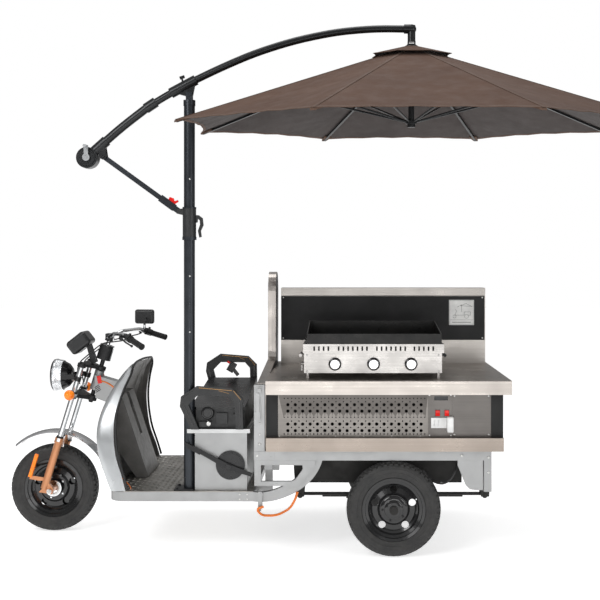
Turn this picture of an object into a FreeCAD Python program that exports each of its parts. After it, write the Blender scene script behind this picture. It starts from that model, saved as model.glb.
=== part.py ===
# Three-wheeled electric griddle cart with a cantilever parasol.
# Vehicle axes: X runs from the front wheel (negative) to the tail, Y from the left side
# (negative) to the right side, Z up from the floor.  Millimetres.
import FreeCAD, Part
import os
import math

V = FreeCAD.Vector
Rot = FreeCAD.Rotation
Pl = FreeCAD.Placement

doc = FreeCAD.newDocument("griddle_cart")
sheet = doc.addObject("Spreadsheet::Sheet", "dims")
sheet.Label = "dims"

DIMS = [
    # alias, value, meaning
    ("shift_x", 188.82, "vehicle frame to part frame, along X"),
    ("shift_y", 434.93, "vehicle frame to part frame, along Y"),
    # wheels
    ("wheel_rad", 250.0, "outer radius of the 3.50-12 tyres"),
    ("tyre_half", 47.5, "half width of a tyre"),
    ("rim_rad", 167.0, "flange radius of the 12 inch rims"),
    ("front_axle_x", -1683.0, "front axle"),
    ("rear_axle_x", 257.0, "rear axle"),
    ("track_half", 550.0, "rear wheel centre plane"),
    # steering
    ("rake_deg", 17.0, "rake of the steering axis"),
    ("stem_x", -1418.6, "a point of the steering axis"),
    ("stem_z", 944.0, "a point of the steering axis"),
    ("leg_x0", -1720.0, "fork leg line at axle height"),
    ("leg_y", 115.0, "fork leg spacing, half"),
    ("leg_rad", 21.0, "fork lower leg radius"),
    ("stanchion_rad", 15.0, "fork stanchion radius"),
    # deck
    ("deck_front", -1259.0, "front of the footwell"),
    ("deck_rear", -489.0, "rear of the footwell"),
    ("deck_half", 535.0, "half width of the footwell"),
    ("deck_top", 335.5, "top of the tread plate"),
    ("deck_thick", 3.0, "tread plate thickness"),
    ("rail_low", 283.0, "underside of the side rails"),
    ("rail_wide", 32.0, "side rail width"),
    # seat box
    ("sbox_front", -802.0, "seat box"),
    ("sbox_rear", -524.0, "seat box"),
    ("sbox_half", 500.0, "seat box"),
    ("sbox_top", 641.0, "seat box"),
    ("sbox_wall", 3.0, "seat box sheet"),
    ("lid_front", -844.0, "lid tray"),
    ("lid_rear", -508.0, "lid tray"),
    ("lid_half", 506.0, "lid tray"),
    ("lid_top", 662.0, "lid tray"),
    # cargo bed
    ("bed_front", -482.0, "cargo bed"),
    ("bed_rear", 777.0, "cargo bed"),
    ("bed_half", 550.0, "cargo bed"),
    ("bed_low", 503.0, "cargo bed"),
    ("bed_top", 553.0, "cargo bed"),
    ("bed_rail", 40.0, "cargo bed rail width"),
    ("pillar_rear", -424.0, "front corner pillar"),
    ("pillar_top", 903.0, "front corner pillar"),
    # cabinet
    ("cab_left", -420.0, "cabinet"),
    ("cab_right", 842.0, "cabinet"),
    ("cab_front", -520.0, "cabinet"),
    ("cab_back", 500.0, "cabinet"),
    ("cab_top", 854.0, "cabinet"),
    ("cab_wall", 12.0, "cabinet"),
    ("skirt_top", 624.0, "stainless skirt"),
    # worktop
    ("top_left", -420.0, "worktop"),
    ("top_right", 881.0, "worktop"),
    ("top_front", -580.0, "worktop"),
    ("top_back", 545.0, "worktop"),
    ("top_z", 928.0, "worktop"),
    ("top_sheet", 3.0, "worktop"),
    # backsplash
    ("back_left", -396.0, "backsplash column"),
    ("back_right", 868.0, "backsplash column"),
    ("back_front", 400.0, "backsplash column"),
    ("back_rear", 540.0, "backsplash column"),
    ("back_top", 1394.0, "backsplash column"),
    ("panel_low", 1072.0, "black splash panel"),
    ("panel_high", 1344.0, "black splash panel"),
    # end cheek
    ("cheek_out", -469.0, "end cheek"),
    ("cheek_in", -421.6, "end cheek"),
    # griddle
    ("grid_left", -221.0, "griddle housing"),
    ("grid_right", 523.0, "griddle housing"),
    ("grid_front", -450.0, "griddle housing"),
    ("grid_back", -10.0, "griddle housing"),
    ("grid_low", 956.0, "griddle housing"),
    ("grid_mid", 1064.0, "griddle housing, top of the control face"),
    ("grid_top", 1112.0, "griddle housing, top of the slotted lip"),
    ("pan_front_z", 1166.0, "griddle pan front wall"),
    ("pan_back_z", 1214.0, "griddle pan rear wall"),
    ("knob_z", 1005.0, "burner knobs"),
    ("knob_rad", 27.0, "burner knobs"),
    # mast and boom
    ("mast_x", -837.5, "parasol mast"),
    ("mast_y", -460.0, "parasol mast and boom plane"),
    ("mast_rad", 29.5, "mast tube outside radius"),
    ("mast_in", 26.5, "mast tube inside radius"),
    ("mast_top", 2425.0, "mast tube top"),
    ("pivot_x", -834.0, "boom pivot"),
    ("pivot_z", 2453.5, "boom pivot"),
    ("lug_x", -1297.0, "strut pivot on the boom"),
    ("lug_z", 2119.8, "strut pivot on the boom"),
    ("eye_x", -890.0, "strut pivot on the collar"),
    ("eye_z", 1825.0, "strut pivot on the collar"),
    ("reel_x", -1383.0, "crank reel"),
    ("reel_z", 2114.4, "crank reel"),
    # canopy
    ("hub_x", 358.0, "canopy centre"),
    ("hub_z", 2712.0, "canopy apex"),
    ("can_rad", 1296.0, "canopy corner radius, open"),
    ("can_drop", 424.0, "apex to rim, open"),
    ("can_tilt", 3.3, "resting tilt of the canopy about X, degrees"),
]
row = 1
for alias, value, note in DIMS:
    sheet.set("A%d" % row, note)
    sheet.set("B%d" % row, repr(value))
    sheet.setAlias("B%d" % row, alias)
    row += 1
doc.recompute()


def d(alias):
    return float(sheet.get(alias))


SHIFT = Pl(V(d("shift_x"), d("shift_y"), 0), Rot())
NODES = []


def ex(e):
    """number or expression text -> expression text"""
    return e if isinstance(e, str) else repr(float(e))


def bx(name, x0, x1, y0, y1, z0, z1):
    """Part::Box between two corners, each coordinate a number or a sheet expression"""
    o = doc.addObject("Part::Box", name)
    o.setExpression("Length", "(%s)-(%s)" % (ex(x1), ex(x0)))
    o.setExpression("Width", "(%s)-(%s)" % (ex(y1), ex(y0)))
    o.setExpression("Height", "(%s)-(%s)" % (ex(z1), ex(z0)))
    o.setExpression("Placement.Base.x", ex(x0))
    o.setExpression("Placement.Base.y", ex(y0))
    o.setExpression("Placement.Base.z", ex(z0))
    return o


def cyl(name, r, h, x, y, z, axis="Z"):
    """Part::Cylinder from (x,y,z) along +axis"""
    o = doc.addObject("Part::Cylinder", name)
    o.setExpression("Radius", ex(r))
    o.setExpression("Height", ex(h))
    rots = {"Z": Rot(), "Y": Rot(V(1, 0, 0), -90), "X": Rot(V(0, 1, 0), 90)}
    o.Placement = Pl(V(0, 0, 0), rots[axis])
    o.setExpression("Placement.Base.x", ex(x))
    o.setExpression("Placement.Base.y", ex(y))
    o.setExpression("Placement.Base.z", ex(z))
    return o


def shp(name, shape):
    """plain shape as a document object, used inside booleans"""
    o = doc.addObject("Part::Feature", name)
    o.Shape = shape
    return o


def fuse(name, objs):
    if len(objs) == 1:
        return objs[0]
    o = doc.addObject("Part::MultiFuse", name)
    o.Shapes = objs
    return o


def group(name, objs):
    """separate solids of one node kept together"""
    o = doc.addObject("Part::Compound", name)
    o.Links = objs
    return o


def cut(name, base, tool):
    o = doc.addObject("Part::Cut", name)
    o.Base = base
    o.Tool = tool
    return o


def node(label, obj):
    """register a finished sub-part: own Label, own Placement"""
    obj.Label = label
    if obj.Placement.Base.Length > 1e-9 or abs(obj.Placement.Rotation.Angle) > 1e-9:
        raise RuntimeError(label + " already has a placement")
    obj.Placement = SHIFT
    NODES.append((label, obj))
    return obj


def feat(label, shape):
    o = doc.addObject("Part::Feature", label)
    o.Shape = shape
    o.Placement = SHIFT.multiply(shape.Placement)
    o.Label = label
    NODES.append((label, o))
    return o


# ---------------------------------------------------------------- shape helpers
def B(x0, x1, y0, y1, z0, z1):
    return Part.makeBox(x1 - x0, y1 - y0, z1 - z0, V(x0, y0, z0))


def CY(r, p, q):
    p = V(*p)
    q = V(*q)
    a = q - p
    return Part.makeCylinder(r, a.Length, p, a)


def prism(pts, a, b, plane):
    """polygon extruded: plane 'xz' along Y, 'yz' along X, 'xy' along Z"""
    if plane == "xz":
        vs = [V(u, a, w) for u, w in pts]
        vec = V(0, b - a, 0)
    elif plane == "yz":
        vs = [V(a, u, w) for u, w in pts]
        vec = V(b - a, 0, 0)
    else:
        vs = [V(u, w, a) for u, w in pts]
        vec = V(0, 0, b - a)
    return Part.Face(Part.makePolygon(vs + [vs[0]])).extrude(vec)


def route(pts, radii=None):
    """straight runs joined by tangent arcs, each arc as large as its runs allow"""
    P = [V(*p) for p in pts]
    edges = []
    start = P[0]
    for i in range(1, len(P) - 1):
        a = (P[i - 1] - P[i])
        b = (P[i + 1] - P[i])
        la, lb = a.Length, b.Length
        a.normalize()
        b.normalize()
        turn = math.pi - a.getAngle(b)
        if turn < 1e-3:
            continue
        r = 0.45 * min(la, lb) / math.tan(turn / 2)
        if radii and radii[i] is not None:
            r = radii[i]
        t = r * math.tan(turn / 2)
        p1 = P[i] + a * t
        p2 = P[i] + b * t
        bis = a + b
        bis.normalize()
        mid = P[i] + bis * (r / math.cos(turn / 2) - r)
        if (p1 - start).Length > 1e-6:
            edges.append(Part.LineSegment(start, p1).toShape())
        edges.append(Part.Arc(p1, mid, p2).toShape())
        start = p2
    edges.append(Part.LineSegment(start, P[-1]).toShape())
    return Part.Wire(edges)


def sweep(pts, r, radii=None):
    w = route(pts, radii)
    P0, P1 = V(*pts[0]), V(*pts[1])
    c = Part.Wire([Part.makeCircle(r, P0, P1 - P0)])
    s = w.makePipeShell([c], True, False)
    if s.Volume < 0:
        s.reverse()
    vol = math.pi * r * r * w.Length
    if abs(s.Volume - vol) > 0.03 * vol:
        print("sweep volume off", s.Volume, vol)
    return s


def ring(pts, axis_p, axis_d, angle=360.0):
    """revolve a closed polygon given as 3-D points"""
    vs = [V(*p) for p in pts]
    f = Part.Face(Part.makePolygon(vs + [vs[0]]))
    return f.revolve(V(*axis_p), V(*axis_d), angle)


def union(shapes):
    s = shapes[0]
    if len(shapes) > 1:
        s = s.multiFuse(shapes[1:])
    return s


def mirror_y(s):
    return s.mirror(V(0, 0, 0), V(0, 1, 0))


def loft_shell(secs_out, secs_in):
    """ruled loft through polygons, outer minus inner"""
    def lo(secs):
        ws = [Part.makePolygon([V(*p) for p in s] + [V(*s[0])]) for s in secs]
        return Part.makeLoft(ws, True, True)
    return lo(secs_out).cut(lo(secs_in))


def tilted(shape, base, ax, deg):
    s = shape.copy()
    s.rotate(V(*base), V(*ax), deg)
    return s


# ---------------------------------------------------------------- PartDesign helpers
def plane_of(body, role):
    for o in body.Origin.OriginFeatures:
        if o.Role == role:
            return o
    raise RuntimeError(role)


def pd_body(label):
    b = doc.addObject("PartDesign::Body", label)
    b.Label = label
    return b


def pd_sketch(body, name, role, off, loops, circles=()):
    sk = body.newObject("Sketcher::SketchObject", name)
    sk.AttachmentSupport = [(plane_of(body, role), "")]
    sk.MapMode = "FlatFace"
    if isinstance(off, str):
        sk.setExpression("AttachmentOffset.Base.z", off)
    else:
        sk.AttachmentOffset = Pl(V(0, 0, off), Rot())
    for loop in loops:
        n = len(loop)
        first = sk.GeometryCount
        for i in range(n):
            a, b = loop[i], loop[(i + 1) % n]
            sk.addGeometry(Part.LineSegment(V(a[0], a[1], 0), V(b[0], b[1], 0)), False)
        import Sketcher
        for i in range(n):
            sk.addConstraint(Sketcher.Constraint("Coincident", first + i, 2, first + (i + 1) % n, 1))
    for cx, cy, r in circles:
        sk.addGeometry(Part.Circle(V(cx, cy, 0), V(0, 0, 1), r), False)
    return sk


def pd_pad(body, name, sk, length, rev=False):
    p = body.newObject("PartDesign::Pad", name)
    p.Profile = sk
    if isinstance(length, str):
        p.setExpression("Length", length)
    else:
        p.Length = length
    p.Reversed = rev
    return p


def pd_pocket(body, name, sk, length, rev=False):
    p = body.newObject("PartDesign::Pocket", name)
    p.Profile = sk
    if isinstance(length, str):
        p.setExpression("Length", length)
    else:
        p.Length = length
    p.Reversed = rev
    return p


def pd_revolve(body, name, sk, axis):
    r = body.newObject("PartDesign::Revolution", name)
    r.Profile = sk
    r.ReferenceAxis = (sk, [axis])
    r.Angle = 360.0
    return r


rk = math.radians(d("rake_deg"))
AX = V(math.sin(rk), 0, math.cos(rk))          # steering axis, upwards
FW = V(-math.cos(rk), 0, math.sin(rk))         # square to it, towards the front
S0 = V(d("stem_x"), 0, d("stem_z"))
LY = d("leg_y")


def on_stem(z):
    return S0 + AX * ((z - S0.z) / AX.z)


def on_leg(z, y=0.0):
    return V(d("leg_x0") + (z - 250.0) * AX.x / AX.z, y, z)


# ---------------------------------------------------------------- wheels
def tyre(label, x, y):
    b = pd_body(label)
    R, h, r = d("wheel_rad"), d("tyre_half"), d("rim_rad")
    prof = [(r - 14, -36), (r + 6, -40), (r + 30, -h), (R - 26, -h + 1), (R - 10, -38), (R - 2, -24), (R, 0),
            (R - 2, 24), (R - 10, 38), (R - 26, h - 1), (r + 30, h), (r + 6, 40), (r - 14, 36),
            (r - 13, 30), (r + 4, 34), (r + 24, h - 7), (R - 24, h - 9), (R - 12, 26), (R - 10, 0),
            (R - 12, -26), (R - 24, -h + 9), (r + 24, -h + 7), (r + 4, -34), (r - 13, -30)]
    # profile: sketch x = radius, sketch y = along the axle, on the XY plane
    sk = pd_sketch(b, label + "_profile", "XY_Plane", 0.0, [prof])
    pd_revolve(b, label + "_turn", sk, "V_Axis")
    b.Placement = Pl(V(x, y, d("wheel_rad")) + SHIFT.Base, Rot())
    NODES.append((label, b))
    return b


def rim(label, x, y, bore, side):
    """pressed steel disc wheel; side -1: dish faces -Y"""
    b = pd_body(label)
    r = d("rim_rad")
    s = side
    prof = [(bore, -50), (34, -50), (34, s * 20 - 3), (74, s * 20 - 3), (86, s * 8 - 3), (112, s * 2 - 3),
            (128, s * 14 - 3), (136, -26), (150, -30), (r - 15, -38), (r, -42), (r, -38.5), (r - 13, -34.5),
            (151, -27), (145, -22), (145, 22), (151, 27), (r - 13, 34.5), (r, 38.5), (r, 42), (r - 15, 38),
            (150, 30), (136, 26), (131, s * 14 + 3), (112, s * 2 + 3), (88, s * 8 + 3),
            (76, s * 20 + 3), (34, s * 20 + 3), (34, 50), (bore, 50)]
    sk = pd_sketch(b, label + "_profile", "XY_Plane", 0.0, [prof])
    pd_revolve(b, label + "_turn", sk, "V_Axis")
    doc.recompute()
    hs = pd_sketch(b, label + "_hole", "XZ_Plane", 0.0, [], [(0, 104, 19)])
    pk = b.newObject("PartDesign::Pocket", label + "_cut")
    pk.Profile = hs
    pk.Type = 1
    pk.Midplane = True
    pp = b.newObject("PartDesign::PolarPattern", label + "_holes")
    pp.Originals = [pk]
    pp.Axis = (hs, ["N_Axis"])
    pp.Angle = 360.0
    pp.Occurrences = 5
    b.Tip = pp
    b.Placement = Pl(V(x, y, d("wheel_rad")) + SHIFT.Base, Rot())
    NODES.append((label, b))
    return b


TR = d("track_half")
tyre("front_tyre", d("front_axle_x"), 0.0)
rim("front_rim", d("front_axle_x"), 0.0, 7.55, -1)
tyre("rear_tyre_left", d("rear_axle_x"), -TR)
rim("rear_rim_left", d("rear_axle_x"), -TR, 15.05, -1)
tyre("rear_tyre_right", d("rear_axle_x"), TR)
rim("rear_rim_right", d("rear_axle_x"), TR, 15.05, 1)

# ---------------------------------------------------------------- main frame
DF, DR, DH = d("deck_front"), d("deck_rear"), d("deck_half")
RL, DT, TH = d("rail_low"), d("deck_top"), d("deck_thick")
RW = d("rail_wide")


def rrect(x0, x1, y0, y1, z0, z1, r):
    """block with its two front plan corners rounded"""
    s = B(x0, x1, y0, y1, z0, z1)
    es = [e for e in s.Edges if abs(e.BoundBox.XMin - x0) < 1e-6 and abs(e.BoundBox.XMax - x0) < 1e-6
          and e.BoundBox.ZLength > 1]
    return s.makeFillet(r, es)


RT = DT - TH
rails = rrect(DF, DR, -DH, DH, RL, RT, 90).cut(rrect(DF + RW, DR + 1, -DH + RW, DH - RW, RL - 1, RT + 1, 60))
parts = [rails]
for s in (-1, 1):
    y0, y1 = (-DH, -DH + RW) if s < 0 else (DH - RW, DH)
    # goose neck from the side rail up to the cargo bed
    low = Part.BSplineCurve()
    low.interpolate([V(DR, y0, RL), V(-390, y0, RL + 2), V(-290, y0, RL + 34), V(-200, y0, 375), V(-120, y0, 502)])
    up = Part.BSplineCurve()
    up.interpolate([V(DR, y0, RT), V(-410, y0, RT + 2), V(-330, y0, RT + 30), V(-255, y0, 410), V(-190, y0, 502)])
    w = Part.Wire([low.toShape(), Part.LineSegment(V(-120, y0, 502), V(-190, y0, 502)).toShape(),
                   up.toShape(), Part.LineSegment(V(DR, y0, RT), V(DR, y0, RL)).toShape()])
    parts.append(Part.Face(w).extrude(V(0, y1 - y0, 0)))
    parts.append(B(-430, 740, s * 300 - 25, s * 300 + 25, 440, 502))
for x in (-900, -640, -500):
    parts.append(B(x - 20, x + 20, -DH + RW - 1, DH - RW + 1, 290, RT))
for x in (-410, -60, 560, 720):
    parts.append(B(x - 20, x + 20, -DH + RW if x < -100 else -300, DH - RW if x < -100 else 300, 445, 495))
for s in (-1, 1):
    parts.append(B(-520, -400, s * 300 - 20, s * 300 + 20, 290, 330))
    parts.append(prism([(-440, 290), (-400, 290), (-400, 495), (-440, 495)], s * 300 - 20, s * 300 + 20, "xz"))
# down tube and head tube
head = CY(27, on_stem(815), on_stem(925)).cut(CY(14.95, on_stem(790), on_stem(950)))
dpts = [tuple(on_stem(865) + FW * -8), (-1330, 0, 740), (-1215, 0, 560), (-1180, 0, 420), (-1175, 0, 300)]
down = sweep(dpts, 22).cut(CY(20, on_stem(790), on_stem(950)))
parts += [head, down, B(-1195, -1155, -DH + RW - 1, DH - RW + 1, 286, 326)]
frame = union(parts).cut(CY(14.95, on_stem(790), on_stem(950)))
feat("main_frame", frame)

# ---------------------------------------------------------------- tread plate
b = pd_body("deck_plate")
r = 88.0
pts = [(DF + 2, -DH + r), (DF + 28, -DH + 26), (DF + r, -DH + 2), (DR, -DH + 2), (DR, DH - 2), (DF + r, DH - 2),
       (DF + 28, DH - 26), (DF + 2, DH - r)]
sk = pd_sketch(b, "deck_outline", "XY_Plane", "dims.deck_top-dims.deck_thick", [pts])
pd_pad(b, "deck_pad", sk, "dims.deck_thick")
b.Placement = SHIFT
NODES.append(("deck_plate", b))

# ---------------------------------------------------------------- leg shield
# stations: height, rear edge x, side front x, centre front x, half width
ST = [(336.0, -1168, -1248, -1256, 531), (415.0, -1190, -1280, -1300, 524), (520.0, -1225, -1318, -1345, 512),
      (636.0, -1240, -1333, -1362, 494), (740.0, -1238, -1318, -1352, 458), (850.0, -1214, -1274, -1308, 392),
      (925.0, -1186, -1232, -1262, 330), (968.0, -1168, -1196, -1222, 292)]


def plan(st, off, back):
    z, xe, xs, xc, w = st
    w = w - off
    xs = xs + off
    xc = xc + off
    return [(back, -w, z), (xe - 30, -w, z), (xs + 12, -w + 6, z), (xs - 4, -w + 34, z), (xc + 14, -w * 0.66, z), (xc, -w * 0.3, z),
            (xc, w * 0.3, z), (xc + 14, w * 0.66, z), (xs - 4, w - 34, z), (xs + 12, w - 6, z), (xe - 30, w, z), (back, w, z)]


def shell(off0, off1, edge):
    out = [plan(st, off0, st[1] + edge) for st in ST]
    inn = [plan(st, off1, st[1] + edge + 30) for st in ST]
    inn[0] = [(x, y, z - 1) for x, y, z in inn[0]]
    inn[-1] = [(x, y, z + 1) for x, y, z in inn[-1]]
    return loft_shell(out, inn)


slot = union([CY(36, (-1480, 0, 905), (-1200, 0, 690)), B(-1500, -1180, -30, 30, 560, 800)])
feat("leg_shield", shell(0, 4, 0).cut(slot))
liner = shell(5, 8.5, -6).cut(slot)
knee_o = prism([(-1338, 810), (-1262, 800), (-1112, 342), (-1120, 336.5), (-1180, 336.5), (-1292, 500), (-1330, 640)], -170, 170, "xz")
knee_i = prism([(-1400, 800), (-1270, 790), (-1126, 336), (-1186, 330), (-1400, 330)], -166, 166, "xz")
knee = knee_o.cut(knee_i)
mask_out = [plan(st, 8.5, st[1] + 200) for st in ST]
mk = Part.makeLoft([Part.makePolygon([V(*p) for p in s] + [V(*s[0])]) for s in mask_out], True, True)
knee = knee.common(mk)
ribs = []
for y in (-330, -250, 250, 330):
    ribs.append(prism([(-1400, 780), (-1296, 760), (-1276, 560), (-1236, 380), (-1400, 380)], y - 6, y + 6, "xz").common(mk))
feat("shield_liner", union([liner, knee] + ribs).cut(slot))
tp = [(st[1] + 8.5, -st[4] + 3, st[0] + 10) for st in ST[:-1]]
top_l = (ST[-1][1] - 6, -ST[-1][4] + 6, 978.0)
tpts = tp + [top_l, (-1190, -120, 986), (-1190, 120, 986), (top_l[0], -top_l[1], 978.0)] + [(x, -y, z) for x, y, z in reversed(tp)]
feat("shield_trim", sweep(tpts, 6.5))

# ---------------------------------------------------------------- neck cover
nc = prism([(-1446, 902), (-1330, 868), (-1262, 862), (-1300, 800), (-1368, 742), (-1440, 770)], -44, 44, "xz")
nci = prism([(-1500, 915), (-1440, 896), (-1330, 862), (-1240, 856), (-1280, 780), (-1368, 748), (-1500, 740)], -40.5, 40.5, "xz")
nc = nc.cut(nci).cut(CY(46, on_stem(700), on_stem(800))).cut(CY(29, on_stem(780), on_stem(950))).cut(sweep(dpts, 24))
mask0 = Part.makeLoft([Part.makePolygon([V(*p) for p in s] + [V(*s[0])]) for s in [plan(st, -1, st[1] + 300) for st in ST]], True, True)
feat("neck_cover", nc.cut(mask0))

# ---------------------------------------------------------------- seat box, battery, lid
sb = bx("seat_box_out", "dims.sbox_front", "dims.sbox_rear", "-dims.sbox_half", "dims.sbox_half", "dims.deck_top", "dims.sbox_top")
si = bx("seat_box_in", "dims.sbox_front+dims.sbox_wall", "dims.sbox_rear-dims.sbox_wall", "-dims.sbox_half+dims.sbox_wall",
        "dims.sbox_half-dims.sbox_wall", "dims.deck_top+dims.sbox_wall", "dims.sbox_top+10")
node("seat_box", cut("seat_box_cut", sb, si))
cells = [bx("battery_%d" % i, -785, -545, -460 + i * 188, -460 + i * 188 + 176, "dims.deck_top+dims.sbox_wall", 560) for i in range(5)]
node("battery_pack", group("batteries", cells))
lo_ = bx("lid_out", "dims.lid_front", "dims.lid_rear", "-dims.lid_half", "dims.lid_half", "dims.sbox_top", "dims.lid_top")
li_ = bx("lid_in", "dims.lid_front+2", "dims.lid_rear-2", "-dims.lid_half+2", "dims.lid_half-2", "dims.sbox_top+3", "dims.lid_top+5")
ln = cyl("lid_notch", "dims.mast_rad+6", 60, "dims.mast_x", "dims.mast_y", 630)
lb = bx("lid_slot", "dims.lid_front-10", "dims.mast_x", "dims.mast_y-dims.mast_rad-6", "dims.mast_y+dims.mast_rad+6", 630, 690)
node("seat_box_lid", cut("lid_cut", lo_, fuse("lid_tools", [li_, ln, lb])))

# gear cover on the left face, with its pivot pin and bolts
cov = union([CY(77.5, (-612, -500.2, 470), (-612, -508, 470)), CY(66, (-612, -508, 470), (-612, -512, 470)),
             CY(20, (-620, -510, 465), (-620, -517, 465)), CY(8, (-620, -512, 465), (-620, -536, 465)),
             CY(13, (-620, -531.5, 465), (-620, -538, 465))]
            + [CY(4.5, (-612 + 71 * math.cos(a), -507, 470 + 71 * math.sin(a)), (-612 + 71 * math.cos(a), -511.5, 470 + 71 * math.sin(a)))
               for a in [math.radians(30 + 60 * i) for i in range(6)]])
feat("gear_cover", cov)
lev = union([prism([(-846, 594), (-838, 572), (-628, 453), (-500, 413), (-494, 431), (-612, 477)], -531, -519, "xz"),
             prism([(-852, 600), (-842, 568), (-772, 530), (-762, 552)], -537, -513.5, "xz").cut(B(-860, -800, -500, -400, 0, 900)),
             CY(17, (-620, -531, 465), (-620, -519, 465))]).cut(CY(8.05, (-620, -600, 465), (-620, -400, 465)))
feat("gear_lever", lev)

# ---------------------------------------------------------------- power station on the lid
PZ = d("sbox_top") + 3
pb = prism([(-470, PZ), (-470, 762), (-452, 772), (352, 846), (372, 836), (372, PZ)], -842 + 8, -540, "yz")
pb = pb.cut(CY(d("mast_rad") + 8, (d("mast_x"), d("mast_y"), 600), (d("mast_x"), d("mast_y"), 1000)))
pb = pb.cut(B(-900, d("mast_x"), -520, -420, 600, 1000))


def cage(y0, y1, zb, zt, x0, x1):
    o = [(x0 + 30, zb), (x0 - 30, zt - 92), (x0 - 24, zt - 40), (x0 + 58, zt + 14), (x1 - 62, zt), (x1 - 10, zt - 52), (x1 - 6, zb)]
    i = [(x0 + 74, zb - 5), (x0 + 16, zt - 84), (x0 + 62, zt - 36), (x1 - 82, zt - 38), (x1 - 52, zt - 72), (x1 - 46, zb - 5)]
    return prism(o, y0, y1, "xz").cut(prism(i, y0 - 1, y1 + 1, "xz"))


near = cage(-524, -494, PZ + 19, 878, -850, -536)
far = cage(392, 424, PZ + 19, 972, -830, -536)
joins = [B(-600, -545, -494, -470, 690, 740), B(-780, -740, -494, -470, 672, 700), B(-600, -545, 372, 392, 690, 800), B(-780, -720, 372, 392, 690, 780)]
plugs = [CY(34, (-735, -470, 742), (-735, -492, 748)), B(-690, -630, -488, -470, 690, 745)]
feat("power_station", union([pb, near, far] + joins + plugs))

# ---------------------------------------------------------------- cargo bed
BF, BR, BH, BL, BT, BW = d("bed_front"), d("bed_rear"), d("bed_half"), d("bed_low"), d("bed_top"), d("bed_rail")
bed = [bx("bed_side_l", "dims.bed_front", "dims.bed_rear", "-dims.bed_half", "-dims.bed_half+dims.bed_rail", "dims.bed_low", "dims.bed_top"),
       bx("bed_side_r", "dims.bed_front", "dims.bed_rear", "dims.bed_half-dims.bed_rail", "dims.bed_half", "dims.bed_low", "dims.bed_top"),
       bx("bed_cross_f", "dims.bed_front", "dims.bed_front+40", "-dims.bed_half+20", "dims.bed_half-20", "dims.bed_low", "dims.bed_top"),
       bx("bed_cross_m", 120, 160, "-dims.bed_half+20", "dims.bed_half-20", "dims.bed_low", "dims.bed_top"),
       bx("bed_cross_r", "dims.bed_rear-40", "dims.bed_rear", "-dims.bed_half+20", "dims.bed_half-20", "dims.bed_low", "dims.bed_top"),
       bx("bed_floor", "dims.bed_front+10", "dims.bed_rear-10", "-dims.bed_half+10", "dims.bed_half-10", "dims.bed_top-6", "dims.bed_top")]
for s, nm in ((-1, "l"), (1, "r")):
    y0, y1 = ("-dims.bed_half", "-dims.bed_half+dims.bed_rail") if s < 0 else ("dims.bed_half-dims.bed_rail", "dims.bed_half")
    bed.append(bx("pillar_" + nm, "dims.bed_front", "dims.pillar_rear-2", y0, y1, "dims.bed_top-10", "dims.pillar_top"))
    bed.append(bx("tail_post_" + nm, "dims.bed_rear-40", "dims.bed_rear", y0, y1, 337, "dims.bed_low+10"))
node("cargo_bed", fuse("bed_fuse", bed))

# pressed brackets, gussets, corner plates, side board hinges and pillar latches
br = []
for s in (-1, 1):
    ya, yb = (-BH, -BH + 22) if s < 0 else (BH - 22, BH)
    o = prism([(-480, 502.7), (-480, 368), (-262, 368), (-238, 378), (-158, 476), (-158, 502.7)], ya, yb, "xz")
    i = prism([(-446, 478), (-446, 392), (-284, 392), (-262, 402), (-224, 456), (-226, 478)], ya - 1, yb + 1, "xz")
    hollow = prism([(-478, 510), (-478, 371), (-263, 371), (-240, 381), (-161, 477), (-161, 510)],
                   ya + 2.5 if s < 0 else ya - 1, yb + 1 if s < 0 else yb - 2.5, "xz")
    lip = prism([(-452, 484), (-452, 386), (-281, 386), (-256, 398), (-217, 455), (-219, 484)], ya, yb, "xz")
    br.append(union([o.cut(hollow), lip.common(o)]).cut(i))
    g = prism([(597, 502.7), (597, 478), (640, 372), (660, 352), (690, 346), (731, 346), (731, 502.7)], ya, yb, "xz")
    gh = prism([(600, 510), (600, 480), (643, 375), (662, 355), (691, 349), (728, 349), (728, 510)],
               ya + 2.5 if s < 0 else ya - 1, yb + 1 if s < 0 else yb - 2.5, "xz")
    br.append(g.cut(gh))
    yo, yi = (-BH - 3.3, -BH - 0.3) if s < 0 else (BH + 0.3, BH + 3.3)
    br.append(B(-480, -374, yo, yi, 508, 550).fuse(CY(5, (-460, yo - 2.5 * (s < 0), 540), (-460, yi + 2.5 * (s > 0), 540)))
              .fuse(CY(5, (-392, yo - 2.5 * (s < 0), 520), (-392, yi + 2.5 * (s > 0), 520))))
    for x0, x1 in ((-240, -190), (474, 512), (530, 566)):
        br.append(B(x0, x1, yo, yi, 542, 566))
    # over-centre toggle latch on the pillar: keeper, hook arm and lever
    yk = yo - 9 if s < 0 else yi
    br.append(union([B(-468, -440, yo, yi, 842, 894), B(-464, -444, min(yk, yk + 9), max(yk, yk + 9), 866, 886),
                     B(-474, -444, yo, yi, 720, 800), B(-470, -452, min(yk, yk + 9), max(yk, yk + 9), 742, 860),
                     B(-476, -448, min(yk, yk + 12), max(yk, yk + 12), 722, 762)]))
# relay lever below the footwell rail
br.append(union([prism([(-461, 338), (-441, 338), (-437, 262), (-446, 236), (-460, 236), (-462, 262)], -549, -540, "xz"),
                 CY(15, (-451, -553, 324), (-451, -DH - 0.3, 324)), CY(9, (-452, -556, 244), (-452, -536, 244))]))
feat("bed_brackets", Part.makeCompound(br))

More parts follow.
